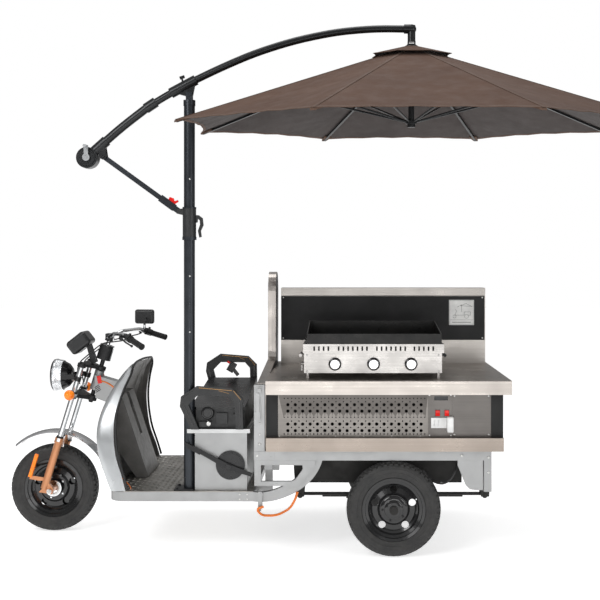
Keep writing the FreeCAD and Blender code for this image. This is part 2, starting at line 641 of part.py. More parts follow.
# ---------------------------------------------------------------- cabinet under the worktop
co = bx("cab_out", "dims.cab_left", "dims.cab_right", "dims.cab_front", "dims.cab_back", "dims.bed_top", "dims.cab_top")
ci = bx("cab_in", "dims.cab_left+dims.cab_wall", "dims.cab_right-dims.cab_wall", "dims.cab_front+dims.cab_wall",
        "dims.cab_back-dims.cab_wall", "dims.bed_top+dims.cab_wall", "dims.cab_top-dims.cab_wall")
cv = bx("cab_vent", -345, 432, "dims.cab_front-5", "dims.cab_front+dims.cab_wall+5", 636, 840)
cc = bx("cab_ctrl", 452, 560, "dims.cab_front-5", "dims.cab_front+dims.cab_wall+5", 700, 842)
cr = bx("cab_frame_r", 778, 842, "dims.cab_front-6", "dims.cab_front", "dims.skirt_top", "dims.cab_top")
cl = bx("cab_frame_l", "dims.cab_left", -357, "dims.cab_front-6", "dims.cab_front", "dims.skirt_top", "dims.cab_top")
node("cabinet", cut("cab_cut", fuse("cab_body", [co, cl, cr]), fuse("cab_holes", [ci, cv, cc])))

b = pd_body("vent_panel")
sk = pd_sketch(b, "vent_outline", "XZ_Plane", "-dims.cab_front+0.3",
               [[(-356.5, 624.5), (442, 624.5), (442, 853.5), (-356.5, 853.5)]])
pd_pad(b, "vent_pad", sk, 3.0)
doc.recompute()
pitch = 39.4
big = [(-304 + pitch * i, z, 8.6) for i in range(19) for z in (795.0, 761.0, 692.0, 657.0)]
small = [(-323.7 + 19.7 * i, z, 3.6) for i in range(39) for z in (828.0, 728.0, 639.0)]
small += [(-284.3 + pitch * i, z, 3.6) for i in range(18) for z in (778.0, 674.5, 811.0, 708.0)]
hs = pd_sketch(b, "vent_holes", "XZ_Plane", "-dims.cab_front-2", [], big + small)
pk = pd_pocket(b, "vent_cut", hs, 12.0, True)
b.Placement = SHIFT
NODES.append(("vent_panel", b))

CF = d("cab_front")
door = B(570.5, 777.5, CF - 3.3, CF - 0.3, 624.5, 853.5)
blank = union([door, B(576, 772, CF - 4.3, CF - 3.3, 630, 848)])
cp = B(442.5, 570, CF - 3.3, CF - 0.3, 624.5, 853.5)
RX = (493.0, 542.0)
for x in RX:
    cp = cp.cut(B(x - 13, x + 13, CF - 10, CF + 5, 734, 768))
bez = [B(x - 16, x + 16, CF - 6, CF - 3.3, 731, 771).cut(B(x - 13, x + 13, CF - 10, CF + 5, 734, 768)) for x in RX]
disp = B(466, 556, CF - 8, CF - 3.3, 812, 848).cut(B(474, 548, CF - 9, CF - 6, 819, 841))
outlet = B(458, 540, CF - 12, CF - 3.6, 672, 726)
for x, z in ((474, 708), (474, 690), (496, 708), (496, 690)):
    outlet = outlet.cut(B(x - 2, x + 2, CF - 20, CF - 6, z - 5, z + 5))
adapter = B(540.3, 576, CF - 42, CF - 4.6, 650, 734)
adapter = adapter.makeFillet(9, adapter.Edges)
feat("control_panel", Part.makeCompound([union([cp, disp] + bez), blank, outlet, adapter]))
rock = []
for nm, x in (("rocker_left", RX[0]), ("rocker_right", RX[1])):
    # rocker turns about X behind the bezel: left one pressed at the top, right one at the top too
    y0 = CF - 2
    body = prism([(y0 - 6.5, 751 + 14.5), (y0 - 6.0, 751), (y0 - 9.5, 751 - 14.5), (y0 + 3, 751 - 12), (y0 + 5, 751), (y0 + 3, 751 + 12)], x - 11.5, x + 11.5, "yz")
    feat(nm, body)

# stainless side skirt
sk1 = union([B(-418, 839, -572, -570, 553.3, 624), B(-418, 839, -570, CF - 7, 622, 624), CY(4, (-180, -574, 574), (-180, -572, 574)),
             CY(4, (600, -574, 574), (600, -572, 574))])
feat("side_skirt", sk1)

# ---------------------------------------------------------------- worktop
b = pd_body("worktop")
sk = pd_sketch(b, "worktop_outline", "XY_Plane", "dims.cab_top",
               [[(d("top_left"), d("top_front")), (d("top_right"), d("top_front")), (d("top_right"), d("top_back")), (d("top_left"), d("top_back"))]])
pd_pad(b, "worktop_pad", sk, "dims.top_z-dims.cab_top")
doc.recompute()
t3 = d("top_sheet")
hs = pd_sketch(b, "worktop_hollow", "XY_Plane", "dims.cab_top-1",
               [[(d("top_left") + t3, d("top_front") + t3), (d("top_right") - t3, d("top_front") + t3),
                 (d("top_right") - t3, d("top_back") - t3), (d("top_left") + t3, d("top_back") - t3)]])
pd_pocket(b, "worktop_pocket", hs, "dims.top_z-dims.cab_top-dims.top_sheet+1", True)
b.Placement = SHIFT
NODES.append(("worktop", b))

# ---------------------------------------------------------------- backsplash column
bo = bx("back_out", "dims.back_left", "dims.back_right", "dims.back_front", "dims.back_rear", "dims.top_z", "dims.back_top")
bi = bx("back_in", "dims.back_left+3", "dims.back_right-3", "dims.back_front+9", "dims.back_rear-3", "dims.top_z-1", "dims.back_top-3")
bp = bx("back_recess", "dims.back_left-1", "dims.back_right-4", "dims.back_front-1", "dims.back_front+5", "dims.panel_low", "dims.panel_high")
node("backsplash", cut("back_cut", bo, fuse("back_tools", [bi, bp])))
feat("splash_panel", B(d("back_left") + .5, d("back_right") - 4.5, d("back_front") + 1, d("back_front") + 4.7, d("panel_low") + .3, d("panel_high") - .3))

# ---------------------------------------------------------------- arched end cheek
pts = [(-508, BT + 0.3), (-508, 908), (260, 962), (292, 980), (298, 1010), (298, 1380)]
for i in range(1, 12):
    a = math.pi - math.pi * i / 12.0
    pts.append((420 + 122 * math.cos(a), 1380 + 114 * math.sin(a)))
pts += [(542, 1380), (542, BT + 0.3)]
cheek = prism(pts, d("cheek_out"), d("cheek_in"), "yz")
wv = [V(d("cheek_out") + 3, u, w) for u, w in pts]
inner = Part.Face(Part.Wire(Part.makePolygon(wv + [wv[0]])).makeOffset2D(-3.0)).extrude(V(d("cheek_in") - d("cheek_out") - 6, 0, 0))
feat("end_cheek", cheek.cut(inner).cut(B(d("cheek_out") + 3, d("cheek_in") - 3, -500, 535, BT, BT + 6)))

# ---------------------------------------------------------------- griddle
GL, GR, GF, GB = d("grid_left"), d("grid_right"), d("grid_front"), d("grid_back")
g0 = B(GL, GR, GF, GB, d("grid_low"), d("grid_mid")).cut(B(GL + 2, GR - 2, GF + 2, GB - 2, d("grid_low") + 2, d("grid_mid") + 1))
g1 = B(GL - 5, GR + 11, GF - 5, GB + 5, d("grid_mid"), d("grid_top")).cut(B(GL + 10, GR - 10, GF + 10, GB - 10, d("grid_mid") - 1, d("grid_top") + 1))
g1 = union([g1, B(GL - 5, GR + 11, GF - 5, GF + 12, d("grid_mid"), d("grid_mid") + 2)])
slots = []
xs = [-166 + 25.4 * i for i in range(4)] + [-34 + 25.4 * i for i in range(7)] + [172 + 25.4 * i for i in range(7)] + [374 + 25.4 * i for i in range(5)]
for x in xs:
    slots.append(B(x - 4.5, x + 4.5, GF - 10, GF + 20, 1076, 1100))
g1 = g1.cut(Part.makeCompound(slots))
KX = (-54.0, 154.0, 356.0)
for x in KX:
    g0 = g0.cut(CY(4.05, (x, GF - 20, d("knob_z")), (x, GF + 20, d("knob_z"))))
feet = [CY(11, (x, y, 928.0), (x, y, 958.0)) for x in (-203, 505) for y in (-430, -30)]
side = [CY(5, (GR, -300, 1040), (GR + 28, -300, 1040)), CY(5, (GR, -200, 1040), (GR + 28, -200, 1040)), CY(9, (GR + 28, -318, 1040), (GR + 28, -182, 1040)),
        CY(5, (GL, -300, 1040), (GL - 24, -300, 1040)), CY(5, (GL, -200, 1040), (GL - 24, -200, 1040)), CY(9, (GL - 24, -318, 1040), (GL - 24, -182, 1040)),
        CY(11, (GL, -408, 1004), (GL - 16, -408, 1004)), CY(8, (GL - 12, -408, 1004), (GL - 12, -408, 966))]
feat("griddle_body", union([g0, g1] + feet + side))
burn = []
for i, x in enumerate((-54, 154, 356)):
    burn.append(union([CY(11, (x, -380, 1040), (x, -60, 1040)), CY(8, (x, -445, 1020), (x, -370, 1036)), B(x - 60, x + 60, -70, -58, 1030, 1050)]))
burn.append(CY(7, (-180, -425, 985), (480, -425, 985)))
feat("griddle_burners", Part.makeCompound(burn))
PF, PB = d("pan_front_z"), d("pan_back_z")
pz0 = d("grid_top") + 0.3
po = prism([(-447, pz0), (-4, pz0), (-2, PB), (-10, PB), (-447, PF)], -206, 522, "yz")
pi_ = prism([(-442, pz0 + 6), (-8, pz0 + 6), (-7, PB + 5), (-7, PB + 9), (-442, PF + 60)], -201, 517, "yz")
feat("griddle_pan", po.cut(pi_))
for nm, x in zip(("knob_left", "knob_centre", "knob_right"), KX):
    b = pd_body(nm)
    R = d("knob_rad")
    # half profile: radius along sketch x, depth along sketch y (towards the cook)
    prof = [(0, -14), (4, -14), (4, 5.5), (R + 8, 5.5), (R + 8, 9), (R + 1, 12), (R, 28), (R - 3, 31), (0, 31)]
    sk = pd_sketch(b, nm + "_profile", "XY_Plane", 0.0, [prof])
    pd_revolve(b, nm + "_turn", sk, "V_Axis")
    doc.recompute()
    fs = pd_sketch(b, nm + "_flute", "XZ_Plane", -33.0, [], [(0, R + 2.5, 4.6)])
    fl = pd_pocket(b, nm + "_groove", fs, 20.0, False)
    pp = b.newObject("PartDesign::PolarPattern", nm + "_flutes")
    pp.Originals = [fl]
    pp.Axis = (fs, ["N_Axis"])
    pp.Angle = 360.0
    pp.Occurrences = 12
    b.Tip = pp
    b.Placement = Pl(V(x, GF, d("knob_z")) + SHIFT.Base, Rot(V(0, 0, 1), 180))
    NODES.append((nm, b))

# ---------------------------------------------------------------- rear axle, motor and leaf springs
RX0 = d("rear_axle_x")
ax = [CY(15, (RX0, -TR - 58, 250), (RX0, TR + 58, 250)), CY(30, (RX0, -TR + 62, 250), (RX0, TR - 62, 250)), CY(95, (RX0, -60, 250), (RX0, 60, 250)),
      CY(80, (RX0 - 40, 62, 250), (RX0 - 40, 190, 250)), CY(70, (RX0, -TR + 52, 250), (RX0, -TR + 66, 250)), CY(70, (RX0, TR - 66, 250), (RX0, TR - 52, 250)),
      CY(22, (RX0, -TR - 64, 250), (RX0, -TR - 51, 250)), CY(22, (RX0, TR + 51, 250), (RX0, TR + 64, 250))]
sp = []
for s in (-1, 1):
    yc = s * 400.0
    for k, L in enumerate((500, 380, 250)):
        sp.append(B(RX0 - L, RX0 + L, yc - 25, yc + 25, 300 - 8 * (k + 1), 300 - 8 * k - 0.0))
    sp.append(CY(16, (RX0 - 500, yc - 26, 292), (RX0 - 500, yc + 26, 292)))
    sp.append(CY(16, (RX0 + 500, yc - 26, 292), (RX0 + 500, yc + 26, 292)))
    for x in (RX0 - 500, RX0 + 500):
        sp.append(prism([(x - 22, 286), (x + 22, 286), (x + 34, 440), (x - 34, 440)], yc - 34, yc - 27, "xz"))
        sp.append(prism([(x - 22, 286), (x + 22, 286), (x + 34, 440), (x - 34, 440)], yc + 27, yc + 34, "xz"))
        sp.append(CY(8, (x, yc - 40, 292), (x, yc + 40, 292)))
        sp.append(B(x - 34, x + 34, min(yc - 34, s * 325.5), max(yc + 34, s * 325.5), 440, 452))
        sp.append(B(x - 34, x + 34, yc - 34, yc + 34, 440, 502))
    sp.append(B(RX0 - 45, RX0 + 45, yc - 41, yc + 41, 299.5, 310))
    for x in (RX0 - 36, RX0 + 36):
        for y in (yc - 33, yc + 33):
            sp.append(CY(5, (x, y, 225), (x, y, 316)))
    sp.append(B(RX0 - 45, RX0 + 45, yc - 41, yc + 41, 262, 277))
    sp.append(B(RX0 - 45, RX0 + 45, yc - 41, yc + 41, 217, 226))
# black splash boards inside the wheels, hung from the bed
boards = [B(-205, 640, min(s * 347, s * 350), max(s * 347, s * 350), 345, 502.7) for s in (-1, 1)]
feat("rear_axle", Part.makeCompound([union(ax + sp)] + boards))

# ---------------------------------------------------------------- cables below the bed
cab = [sweep([(-430, -566, 262), (-470, -566, 250), (-440, -566, 216), (-360, -564, 214), (-290, -552, 250), (-262, -546, 300), (-252, -543, 336)], 6.5),
       sweep([(600, -470, 470), (590, -500, 440), (570, -510, 400), (530, -512, 370), (478, -505, 376), (440, -490, 410), (420, -470, 440)], 5),
       sweep([(-130, -470, 490), (-170, -475, 450), (-200, -480, 400), (-216, -470, 350)], 3)]
feat("underbody_cables", Part.makeCompound(cab))

# ---------------------------------------------------------------- steering column and fork
SR = d("stanchion_rad")
stem = [CY(12.5, on_stem(742), on_stem(1128)), CY(14.9, on_stem(812), on_stem(826)), CY(14.9, on_stem(914), on_stem(928))]
for zc, th in ((768.0, 14.0), (940.0, 10.0)):
    # triple clamps, square to the steering axis
    P = on_stem(zc)
    Q = on_leg(zc) + AX * ((P - on_leg(zc)).dot(AX))
    ctr = (P + Q) * 0.5
    plate = union([Part.makeCylinder(30, 2 * th, P - AX * th, AX), Part.makeCylinder(25, 2 * th, Q + V(0, LY, 0) - AX * th, AX),
                   Part.makeCylinder(25, 2 * th, Q + V(0, -LY, 0) - AX * th, AX)])
    web = Part.Face(Part.makePolygon([P + V(0, 28, 0) - AX * th * .8, Q + V(0, LY, 0) + FW * 14 - AX * th * .8, Q + V(0, -LY, 0) + FW * 14 - AX * th * .8,
                                      P + V(0, -28, 0) - AX * th * .8, P + V(0, 28, 0) - AX * th * .8])).extrude(AX * th * 1.6)
    stem.append(plate)
    stem.append(web)
for s in (-1, 1):
    stem.append(CY(SR, on_leg(400, s * LY), on_leg(978, s * LY)))
    stem.append(CY(17.5, on_leg(968, s * LY), on_leg(982, s * LY)))
stem.append(CY(42, on_stem(990), on_stem(1072)))
stem.append(CY(25, on_stem(1096), on_stem(1132)))

HB = [(-1110, -380, 1092), (-1240, -240, 1150), (-1318, -120, 1146), (-1366, -45, 1120), (-1366, 45, 1120), (-1318, 120, 1146), (-1240, 240, 1150), (-1110, 380, 1092)]
bar = sweep(HB, 11, [None, 60, 60, 40, 40, 60, 60, None])
clampb = B(-1386, -1346, -34, 34, 1104, 1140).cut(CY(11.0, (-1366, -60, 1120), (-1366, 60, 1120)))
feat("steering_stem", union(stem + [clampb]).cut(CY(11.0, (-1366, -60, 1120), (-1366, 60, 1120))))
feat("handlebar", bar)


def grip_axis(s):
    a = V(-1240, s * 240, 1150)
    b = V(-1110, s * 380, 1092)
    u = b - a
    u.normalize()
    return a, b, u


ga, gb, gu = grip_axis(-1)
ha, hb, hu = grip_axis(1)


def grip(b, u, L, r):
    s = Part.makeCylinder(r, L, b - u * (L - 4), u)
    s = s.fuse(Part.makeCylinder(r + 4, 5, b - u * (L - 4), u)).fuse(Part.makeCylinder(r + 2, 5, b - u * 1, u))
    return s


core = Part.makeCylinder(11.05, 140, gb - gu * 140, gu)
left_grip = grip(gb, gu, 118, 16.0).cut(Part.makeCylinder(11.0, 140, gb - gu * 140, gu))
feat("throttle_grip", grip(hb, hu, 118, 16.0).cut(Part.makeCylinder(11.05, 140.4, hb - hu * 140, hu)))

ctl = []
LEV = {}
for s, e, u in ((-1, gb, gu), (1, hb, hu)):
    o = e - u * 130                                 # centre of the switch pod
    up = V(0, 0, 1) - u * u.z
    up.normalize()
    fw = u.cross(up) * (1 if s > 0 else -1)
    if fw.x > 0:
        fw = fw * -1
    pod = Part.makeCylinder(21, 30, o - u * 20, u).fuse(Part.makeCylinder(7, 12, o + up * 18, up))
    perch = Part.makeCylinder(15, 24, o - u * 46, u)
    lug = Part.makeCylinder(8, 16, o - u * 34 + fw * 30 - up * 8, up)
    arm = Part.makeCylinder(7, 30, o - u * 34 + fw * 2, fw)
    pod = pod.fuse(perch).fuse(lug).fuse(arm)
    pin = o - u * 34 + fw * 38
    pod = pod.fuse(Part.makeCylinder(3.0, 26, pin - up * 13, up)).fuse(Part.makeCylinder(9, 4, pin - up * 13, up)).fuse(Part.makeCylinder(9, 4, pin + up * 9, up)) \
        .fuse(Part.makeCylinder(7, 10, pin - fw * 9 - up * 12, fw)).fuse(Part.makeCylinder(3.5, 10, pin - fw * 9 + up * 11, fw))
    pod = pod.cut(Part.makeCylinder(11.0, 200, o - u * 100, u))
    # lever blade between the two pin cheeks
    blade = Part.makeCylinder(8.0, 14, pin - up * 7, up)
    p = [pin, pin + u * 40 + fw * 10, pin + u * 90 + fw * 17, pin + u * 146 + fw * 14]
    seg = []
    for q0, q1, r0 in ((p[0], p[1], 5.5), (p[1], p[2], 5.0), (p[2], p[3], 4.5)):
        seg.append(Part.makeCylinder(r0, (q1 - q0).Length, q0, q1 - q0))
        seg.append(Part.makeSphere(r0, q1))
    seg.append(Part.makeSphere(7.5, p[3]))
    lever = union([blade] + seg).cut(Part.makeCylinder(3.05, 60, pin - up * 30, up))
    pod = pod.cut(Part.makeCylinder(9.0, 15, pin - up * 7.5, up).cut(Part.makeCylinder(3.0, 60, pin - up * 30, up)))
    ctl.append(pod)
    LEV[s] = (pin, up)
    feat("brake_lever_left" if s < 0 else "brake_lever_right", lever)
    print("lever", s, tuple(pin + SHIFT.Base), tuple(up), "bar", tuple(u), tuple(e + SHIFT.Base))
# stalk socket of the mirror on the right pod, ignition barrel beside the clamp
mo = hb - hu * 162
msock = union([Part.makeCylinder(15, 16, mo - hu * 8, hu), Part.makeCylinder(8, 26, mo + V(0, 0, 8), V(0, 0, 1))]).cut(Part.makeCylinder(11.0, 60, mo - hu * 30, hu))
feat("handlebar_controls", Part.makeCompound(ctl + [msock, left_grip]))
mtop = mo + V(0, 0, 34.3)
stalk = union([Part.makeCylinder(7, 10, mtop, V(0, 0, 1)), sweep([tuple(mtop + V(0, 0, 8)), tuple(mtop + V(2, 8, 26)), (-1214, 316, 1212), (-1218, 336, 1216)], 4.5)])
mh = B(-1290, -1168, 326, 360, 1176, 1264)
mh = mh.makeFillet(15, [e for e in mh.Edges])
mh = tilted(mh, (-1229, 343, 1220), (0, 0, 1), -10)
feat("mirror", union([stalk, mh]))
print("mirror pivot", tuple(mtop + SHIFT.Base))

# headlamp bucket with its brackets
hl = ring([(-1694, 0, 898), (-1694, 0, 980), (-1686, 0, 990), (-1672, 0, 991), (-1664, 0, 984), (-1630, 0, 980), (-1600, 0, 964), (-1580, 0, 938), (-1574, 0, 898)],
          (-1672, 0, 898), (1, 0, 0))
arms = []
for s in (-1, 1):
    lp = on_leg(880, s * LY)
    arms.append(prism([(-1636, 880), (-1636, 906), (lp.x - 4, 912), (lp.x - 4, 884)], s * 80 - 3, s * 80 + 3, "xz"))
    arms.append(B(lp.x - 26, lp.x - 20, min(s * 78, s * 110), max(s * 78, s * 110), 884, 910))
    arms.append(CY(20, on_leg(876, s * LY), on_leg(902, s * LY)).cut(CY(SR, on_leg(800, s * LY), on_leg(980, s * LY))))
    arms.append(B(lp.x - 26, lp.x - 10, min(s * 100, s * 110), max(s * 100, s * 110), 884, 900))
hlall = union([hl] + arms)
for s in (-1, 1):
    hlall = hlall.cut(CY(SR, on_leg(800, s * LY), on_leg(980, s * LY)))
feat("headlamp", hlall)

ic = B(-1600, -1470, -75, 75, 1045, 1130)
ic = ic.makeFillet(20, ic.Edges)
ic = tilted(ic, (-1535, 0, 1087.5), (0, 1, 0), -38)
P = on_stem(940)
icb = prism([(-1500, 1075), (-1478, 1085), (-1440, 975), (-1470, 962)], -22, 22, "xz")
feat("instrument_cluster", union([ic, icb]).cut(CY(42.3, on_stem(980), on_stem(1080))))

ts = []
for s in (-1, 1):
    p = on_leg(806, s * LY)
    a = (p.x, s * (LY + SR + 6), p.z)
    bb = (p.x - 2, s * 188, p.z)
    ts.append(union([CY(21, on_leg(795, s * LY), on_leg(817, s * LY)).cut(CY(SR, on_leg(780, s * LY), on_leg(830, s * LY))),
                     CY(6, (p.x, s * (LY + 18), p.z), bb), Part.makeSphere(29, V(p.x, s * 206, p.z)).fuse(CY(9, (p.x, s * 172, p.z), (p.x, s * 192, p.z)))]))
feat("turn_signals", Part.makeCompound(ts))

fc = []
for s in (-1, 1):
    o = (gb - gu * 176) if s < 0 else (hb - hu * 186)
    o = o + V(0, 0, -20.5)
    fc.append(sweep([tuple(o), tuple(o + V(-22, -s * 16, -8)), (-1392, s * 100, 1090), (-1470, s * 78, 1026), (-1536, s * 60, 972), (-1544, s * 52, 900), (-1530, s * 44, 850)], 3.6))
feat("front_cables", Part.makeCompound(fc))

# fork lowers with axle and reflectors
fl = []
for s in (-1, 1):
    leg = union([CY(d("leg_rad"), on_leg(262, s * LY), on_leg(552, s * LY)), CY(24, on_leg(524, s * LY), on_leg(552, s * LY)), CY(18.5, on_leg(552, s * LY), on_leg(560, s * LY)),
                 prism([(-1744, 244), (-1668, 232), (-1662, 262), (-1690, 300)], s * LY - 13, s * LY + 13, "xz")])
    leg = leg.cut(CY(SR + 0.05, on_leg(322, s * LY), on_leg(600, s * LY)))
    brk = union([prism([(-1800, 318), (-1742, 308), (-1706, 308), (-1706, 324), (-1742, 330), (-1792, 338)], s * (LY + 4) - 2, s * (LY + 4) + 2, "xz")])
    rf = prism([(-1764, 462), (-1746, 456), (-1786, 328), (-1804, 334)], min(s * (LY - 3), s * (LY + 18)), max(s * (LY - 3), s * (LY + 18)), "xz")
    fl.append(union([leg, brk, rf]))
fl.append(CY(7.5, (d("front_axle_x"), -LY - 24, 250), (d("front_axle_x"), LY + 24, 250)))
for s in (-1, 1):
    fl.append(CY(14, (d("front_axle_x"), s * (LY + 13), 250), (d("front_axle_x"), s * (LY + 24), 250)))
    fl.append(CY(17, (d("front_axle_x"), s * 50.6, 250), (d("front_axle_x"), s * (LY - 12), 250)))
fl.append(CY(46, (d("front_axle_x") + 4, -62, 252), (d("front_axle_x") + 4, -51, 252)))
feat("fork_lowers", union(fl))

# front mudguard: crowned strip rolled round the wheel
FX = d("front_axle_x")
prof = []
for R, sgn in ((336, 1), (333.5, -1)):
    ys = [-64, -56, -36, 0, 36, 56, 64]
    ds = [-14, -8, -2.5, 0, -2.5, -8, -14]
    row_ = [(y, R + q) for y, q in zip(ys, ds)]
    prof += row_ if sgn > 0 else row_[::-1]
a0, a1 = 24.0, 131.0
pts3 = [(FX + r_ * math.cos(math.radians(a0)), y, 250 + r_ * math.sin(math.radians(a0))) for y, r_ in prof]
fen = ring(pts3, (FX, 0, 250), (0, -1, 0), a1 - a0)
fb = []
for s in (-1, 1):
    p = on_leg(520, s * LY)
    fb.append(B(p.x + 2, p.x + 26, min(s * 58, s * 92), max(s * 58, s * 92), 548, 553).common(B(-2000, 0, -300, 300, 0, 700)))
    fb.append(B(p.x + 2, p.x + 26, min(s * 89, s * 92), max(s * 89, s * 92), 496, 553))
    fb.append(B(p.x + 2, p.x + 26, min(s * 56, s * 60), max(s * 56, s * 60), 548, 572))
feat("front_fender", union([fen] + fb))

# ---------------------------------------------------------------- mast and its socket
MX, MY, MR, MI, MT = d("mast_x"), d("mast_y"), d("mast_rad"), d("mast_in"), d("mast_top")
feat("mast_socket", union([B(MX - 75, MX + 29, MY - 62, MY + 62, DT + 0.2, DT + 8), CY(MI - 0.05, (MX, MY, DT + 4), (MX, MY, 560)),
                           CY(7, (MX - 60, MY - 46, DT + 6), (MX - 60, MY - 46, DT + 16)), CY(7, (MX - 60, MY + 46, DT + 6), (MX - 60, MY + 46, DT + 16))]))
mt = CY(MR, (MX, MY, DT + 8.2), (MX, MY, MT)).cut(CY(MI, (MX, MY, 0), (MX, MY, MT - 8)))
PX, PZ2 = d("pivot_x"), d("pivot_z")
mt = union([mt, CY(32, (MX, MY, MT - 30), (MX, MY, MT)), B(MX - 17, MX + 17, MY - 20, MY - 13, MT - 4, PZ2 + 14), B(MX - 17, MX + 17, MY + 13, MY + 20, MT - 4, PZ2 + 14),
            CY(6, (PX, MY - 24, PZ2), (PX, MY + 24, PZ2)), CY(9, (PX, MY - 25, PZ2), (PX, MY - 20, PZ2)), CY(9, (PX, MY + 20, PZ2), (PX, MY + 25, PZ2))])
feat("mast", mt)

EX, EZ = d("eye_x"), d("eye_z")
col = union([CY(36, (MX, MY, 1673), (MX, MY, 1850)), CY(38, (MX, MY, 1673), (MX, MY, 1690)), CY(37, (MX, MY, 1842), (MX, MY, 1850)),
             prism([(MX, EZ - 26), (MX, EZ + 20), (EX - 12, EZ + 14), (EX - 14, EZ - 10)], MY - 21, MY - 15, "xz"),
             prism([(MX, EZ - 26), (MX, EZ + 20), (EX - 12, EZ + 14), (EX - 14, EZ - 10)], MY + 15, MY + 21, "xz"),
             prism([(MX + 30, 1808), (MX + 52, 1806), (MX + 72, 1790), (MX + 76, 1752), (MX + 62, 1722), (MX + 66, 1690), (MX + 54, 1686), (MX + 46, 1722),
                    (MX + 58, 1756), (MX + 56, 1778), (MX + 46, 1788), (MX + 44, 1768), (MX + 30, 1764)], MY - 7, MY + 7, "xz")])
col = col.cut(CY(MR + 0.06, (MX, MY, 1600), (MX, MY, 1900)))
col = union([col, CY(4, (EX, MY - 23, EZ), (EX, MY + 23, EZ))])
feat("mast_collar", col)

# ---------------------------------------------------------------- boom: curved tube, sleeves, reel housing, elbow


HX, HZ = d("hub_x"), d("hub_z")
BP = [(-1346, MY, 2152), (-1211, MY, 2273), (-1050, MY, 2397), (-870, MY, 2502), (-690, MY, 2590), (-490, MY, 2677), (-270, MY, 2747), (-40, MY, 2794), (170, MY, 2811), (HX, MY, 2808)]
bt = sweep(BP, 19.5)
parts = [bt]
parts.append(sweep(BP[:3], 23))
def seg(p, q, r):
    return CY(r, p, q)
parts.append(seg((-938, MY, 2462.3), (-802, MY, 2535.4), 28))
parts.append(seg((-1072, MY, 2380), (-1018, MY, 2416), 28))
parts.append(seg((-1352, MY, 2146.7), (-1284, MY, 2207.5), 29))
parts.append(CY(5, (-868, MY, 2500), (-880, MY, 2552)))
parts.append(CY(14, (-874, MY, 2541), (-879, MY, 2556)).common(B(-920, -840, MY - 4, MY + 4, 2500, 2600)))
lugp = prism([(PX - 15, PZ2 - 8), (PX + 10, PZ2 - 14), (PX + 16, PZ2), (-806, 2515), (-905, 2462), (-884, 2455)], MY - 12.5, MY + 12.5, "xz")
parts.append(lugp)
LXx, LZz = d("lug_x"), d("lug_z")
parts.append(prism([(LXx - 14, LZz - 12), (LXx + 12, LZz - 12), (LXx + 18, LZz + 4), (-1288, 2180), (-1332, 2160)], MY - 21, MY - 15, "xz"))
parts.append(prism([(LXx - 14, LZz - 12), (LXx + 12, LZz - 12), (LXx + 18, LZz + 4), (-1288, 2180), (-1332, 2160)], MY + 15, MY + 21, "xz"))
parts.append(CY(7, (LXx, MY - 25, LZz), (LXx, MY + 25, LZz)))
RXx, RZz = d("reel_x"), d("reel_z")
parts.append(CY(57, (RXx, MY - 34, RZz), (RXx, MY + 34, RZz)))
parts.append(CY(44, (RXx, MY - 38, RZz), (RXx, MY + 38, RZz)))
parts.append(CY(21, (HX, MY, 2828), (HX, MY, HZ + 26)))
parts.append(Part.makeSphere(26, V(HX, MY, 2808)))
parts.append(CY(25, (HX - 40, MY, 2809), (HX - 6, MY, 2808.5)))
boom = union(parts)
boom = boom.cut(CY(6.05, (PX, MY - 60, PZ2), (PX, MY + 60, PZ2)))
boom = boom.cut(CY(8.05, (RXx, MY - 60, RZz), (RXx, MY - 10, RZz)))
# clevis of the canopy tilt hinge at the foot of the drop post
boom = union([boom, B(HX - 21, HX - 15, MY - 16, MY + 16, HZ + 2, HZ + 30), B(HX + 15, HX + 21, MY - 16, MY + 16, HZ + 2, HZ + 30), CY(5, (HX - 24, MY, HZ + 10), (HX + 24, MY, HZ + 10))])
feat("boom", boom)
crank = union([CY(8, (RXx, MY - 56, RZz), (RXx, MY - 14, RZz)), CY(19, (RXx, MY - 54, RZz), (RXx, MY - 42, RZz)), B(RXx - 11, RXx + 11, MY - 54, MY - 44, RZz, RZz + 64),
               CY(9, (RXx, MY - 54, RZz + 58), (RXx, MY - 86, RZz + 58))])
feat("crank_handle", crank)

# strut: flat tube from the boom lug to the collar, with the end sleeve
dv = V(EX - LXx, 0, EZ - LZz)
SL = dv.Length
ang = math.degrees(math.atan2(dv.z, dv.x))
stp = union([B(0, SL, -7, 7, -13, 13), CY(13, (0, -7, 0), (0, 7, 0)), B(SL - 128, SL - 34, -12, 12, -19, 19), B(SL - 36, SL - 10, -10, 10, -15, 15), CY(13.5, (SL, -10, 0), (SL, 10, 0))])
stp = stp.cut(CY(7.05, (0, -40, 0), (0, 40, 0))).cut(CY(9.0, (SL, -40, 0), (SL, 40, 0)))
stp = stp.cut(CY(3.05, (SL - 66, -40, 19), (SL - 66, 40, 19)))
stp = stp.cut(B(SL - 90, SL - 42, -5.5, 5.5, -14, 40)).cut(B(SL - 44, SL - 24, -5.5, 5.5, 1, 40))
stp = union([stp, CY(3.0, (SL - 66, -12, 16), (SL - 66, 12, 16))])
stp.rotate(V(0, 0, 0), V(0, 1, 0), -ang)
stp.translate(V(LXx, MY, LZz))
feat("strut", stp)
ll = union([prism([(-20, 12), (18, 10), (30, 40), (22, 46), (10, 30), (-2, 40), (-24, 34)], -5, 5, "xz")])
ll.translate(V(SL - 66, 0, 0))
ll = ll.cut(CY(3.05, (SL - 66, -40, 16), (SL - 66, 40, 16)))
ll.rotate(V(0, 0, 0), V(0, 1, 0), -ang)
ll.translate(V(LXx, MY, LZz))
feat("lock_lever", ll)
piv = V(SL - 66, 0, 16)
piv = Rot(V(0, 1, 0), -ang).multVec(piv) + V(LXx, MY, LZz) + SHIFT.Base
print("lock pivot", tuple(piv))

# ---------------------------------------------------------------- canopy: crown, ribs, stretchers, runner and cloth
CR, CD, TI = d("can_rad"), d("can_drop"), d("can_tilt")
TC = V(HX, MY, HZ + 10)
slope = math.atan2(CD, CR)


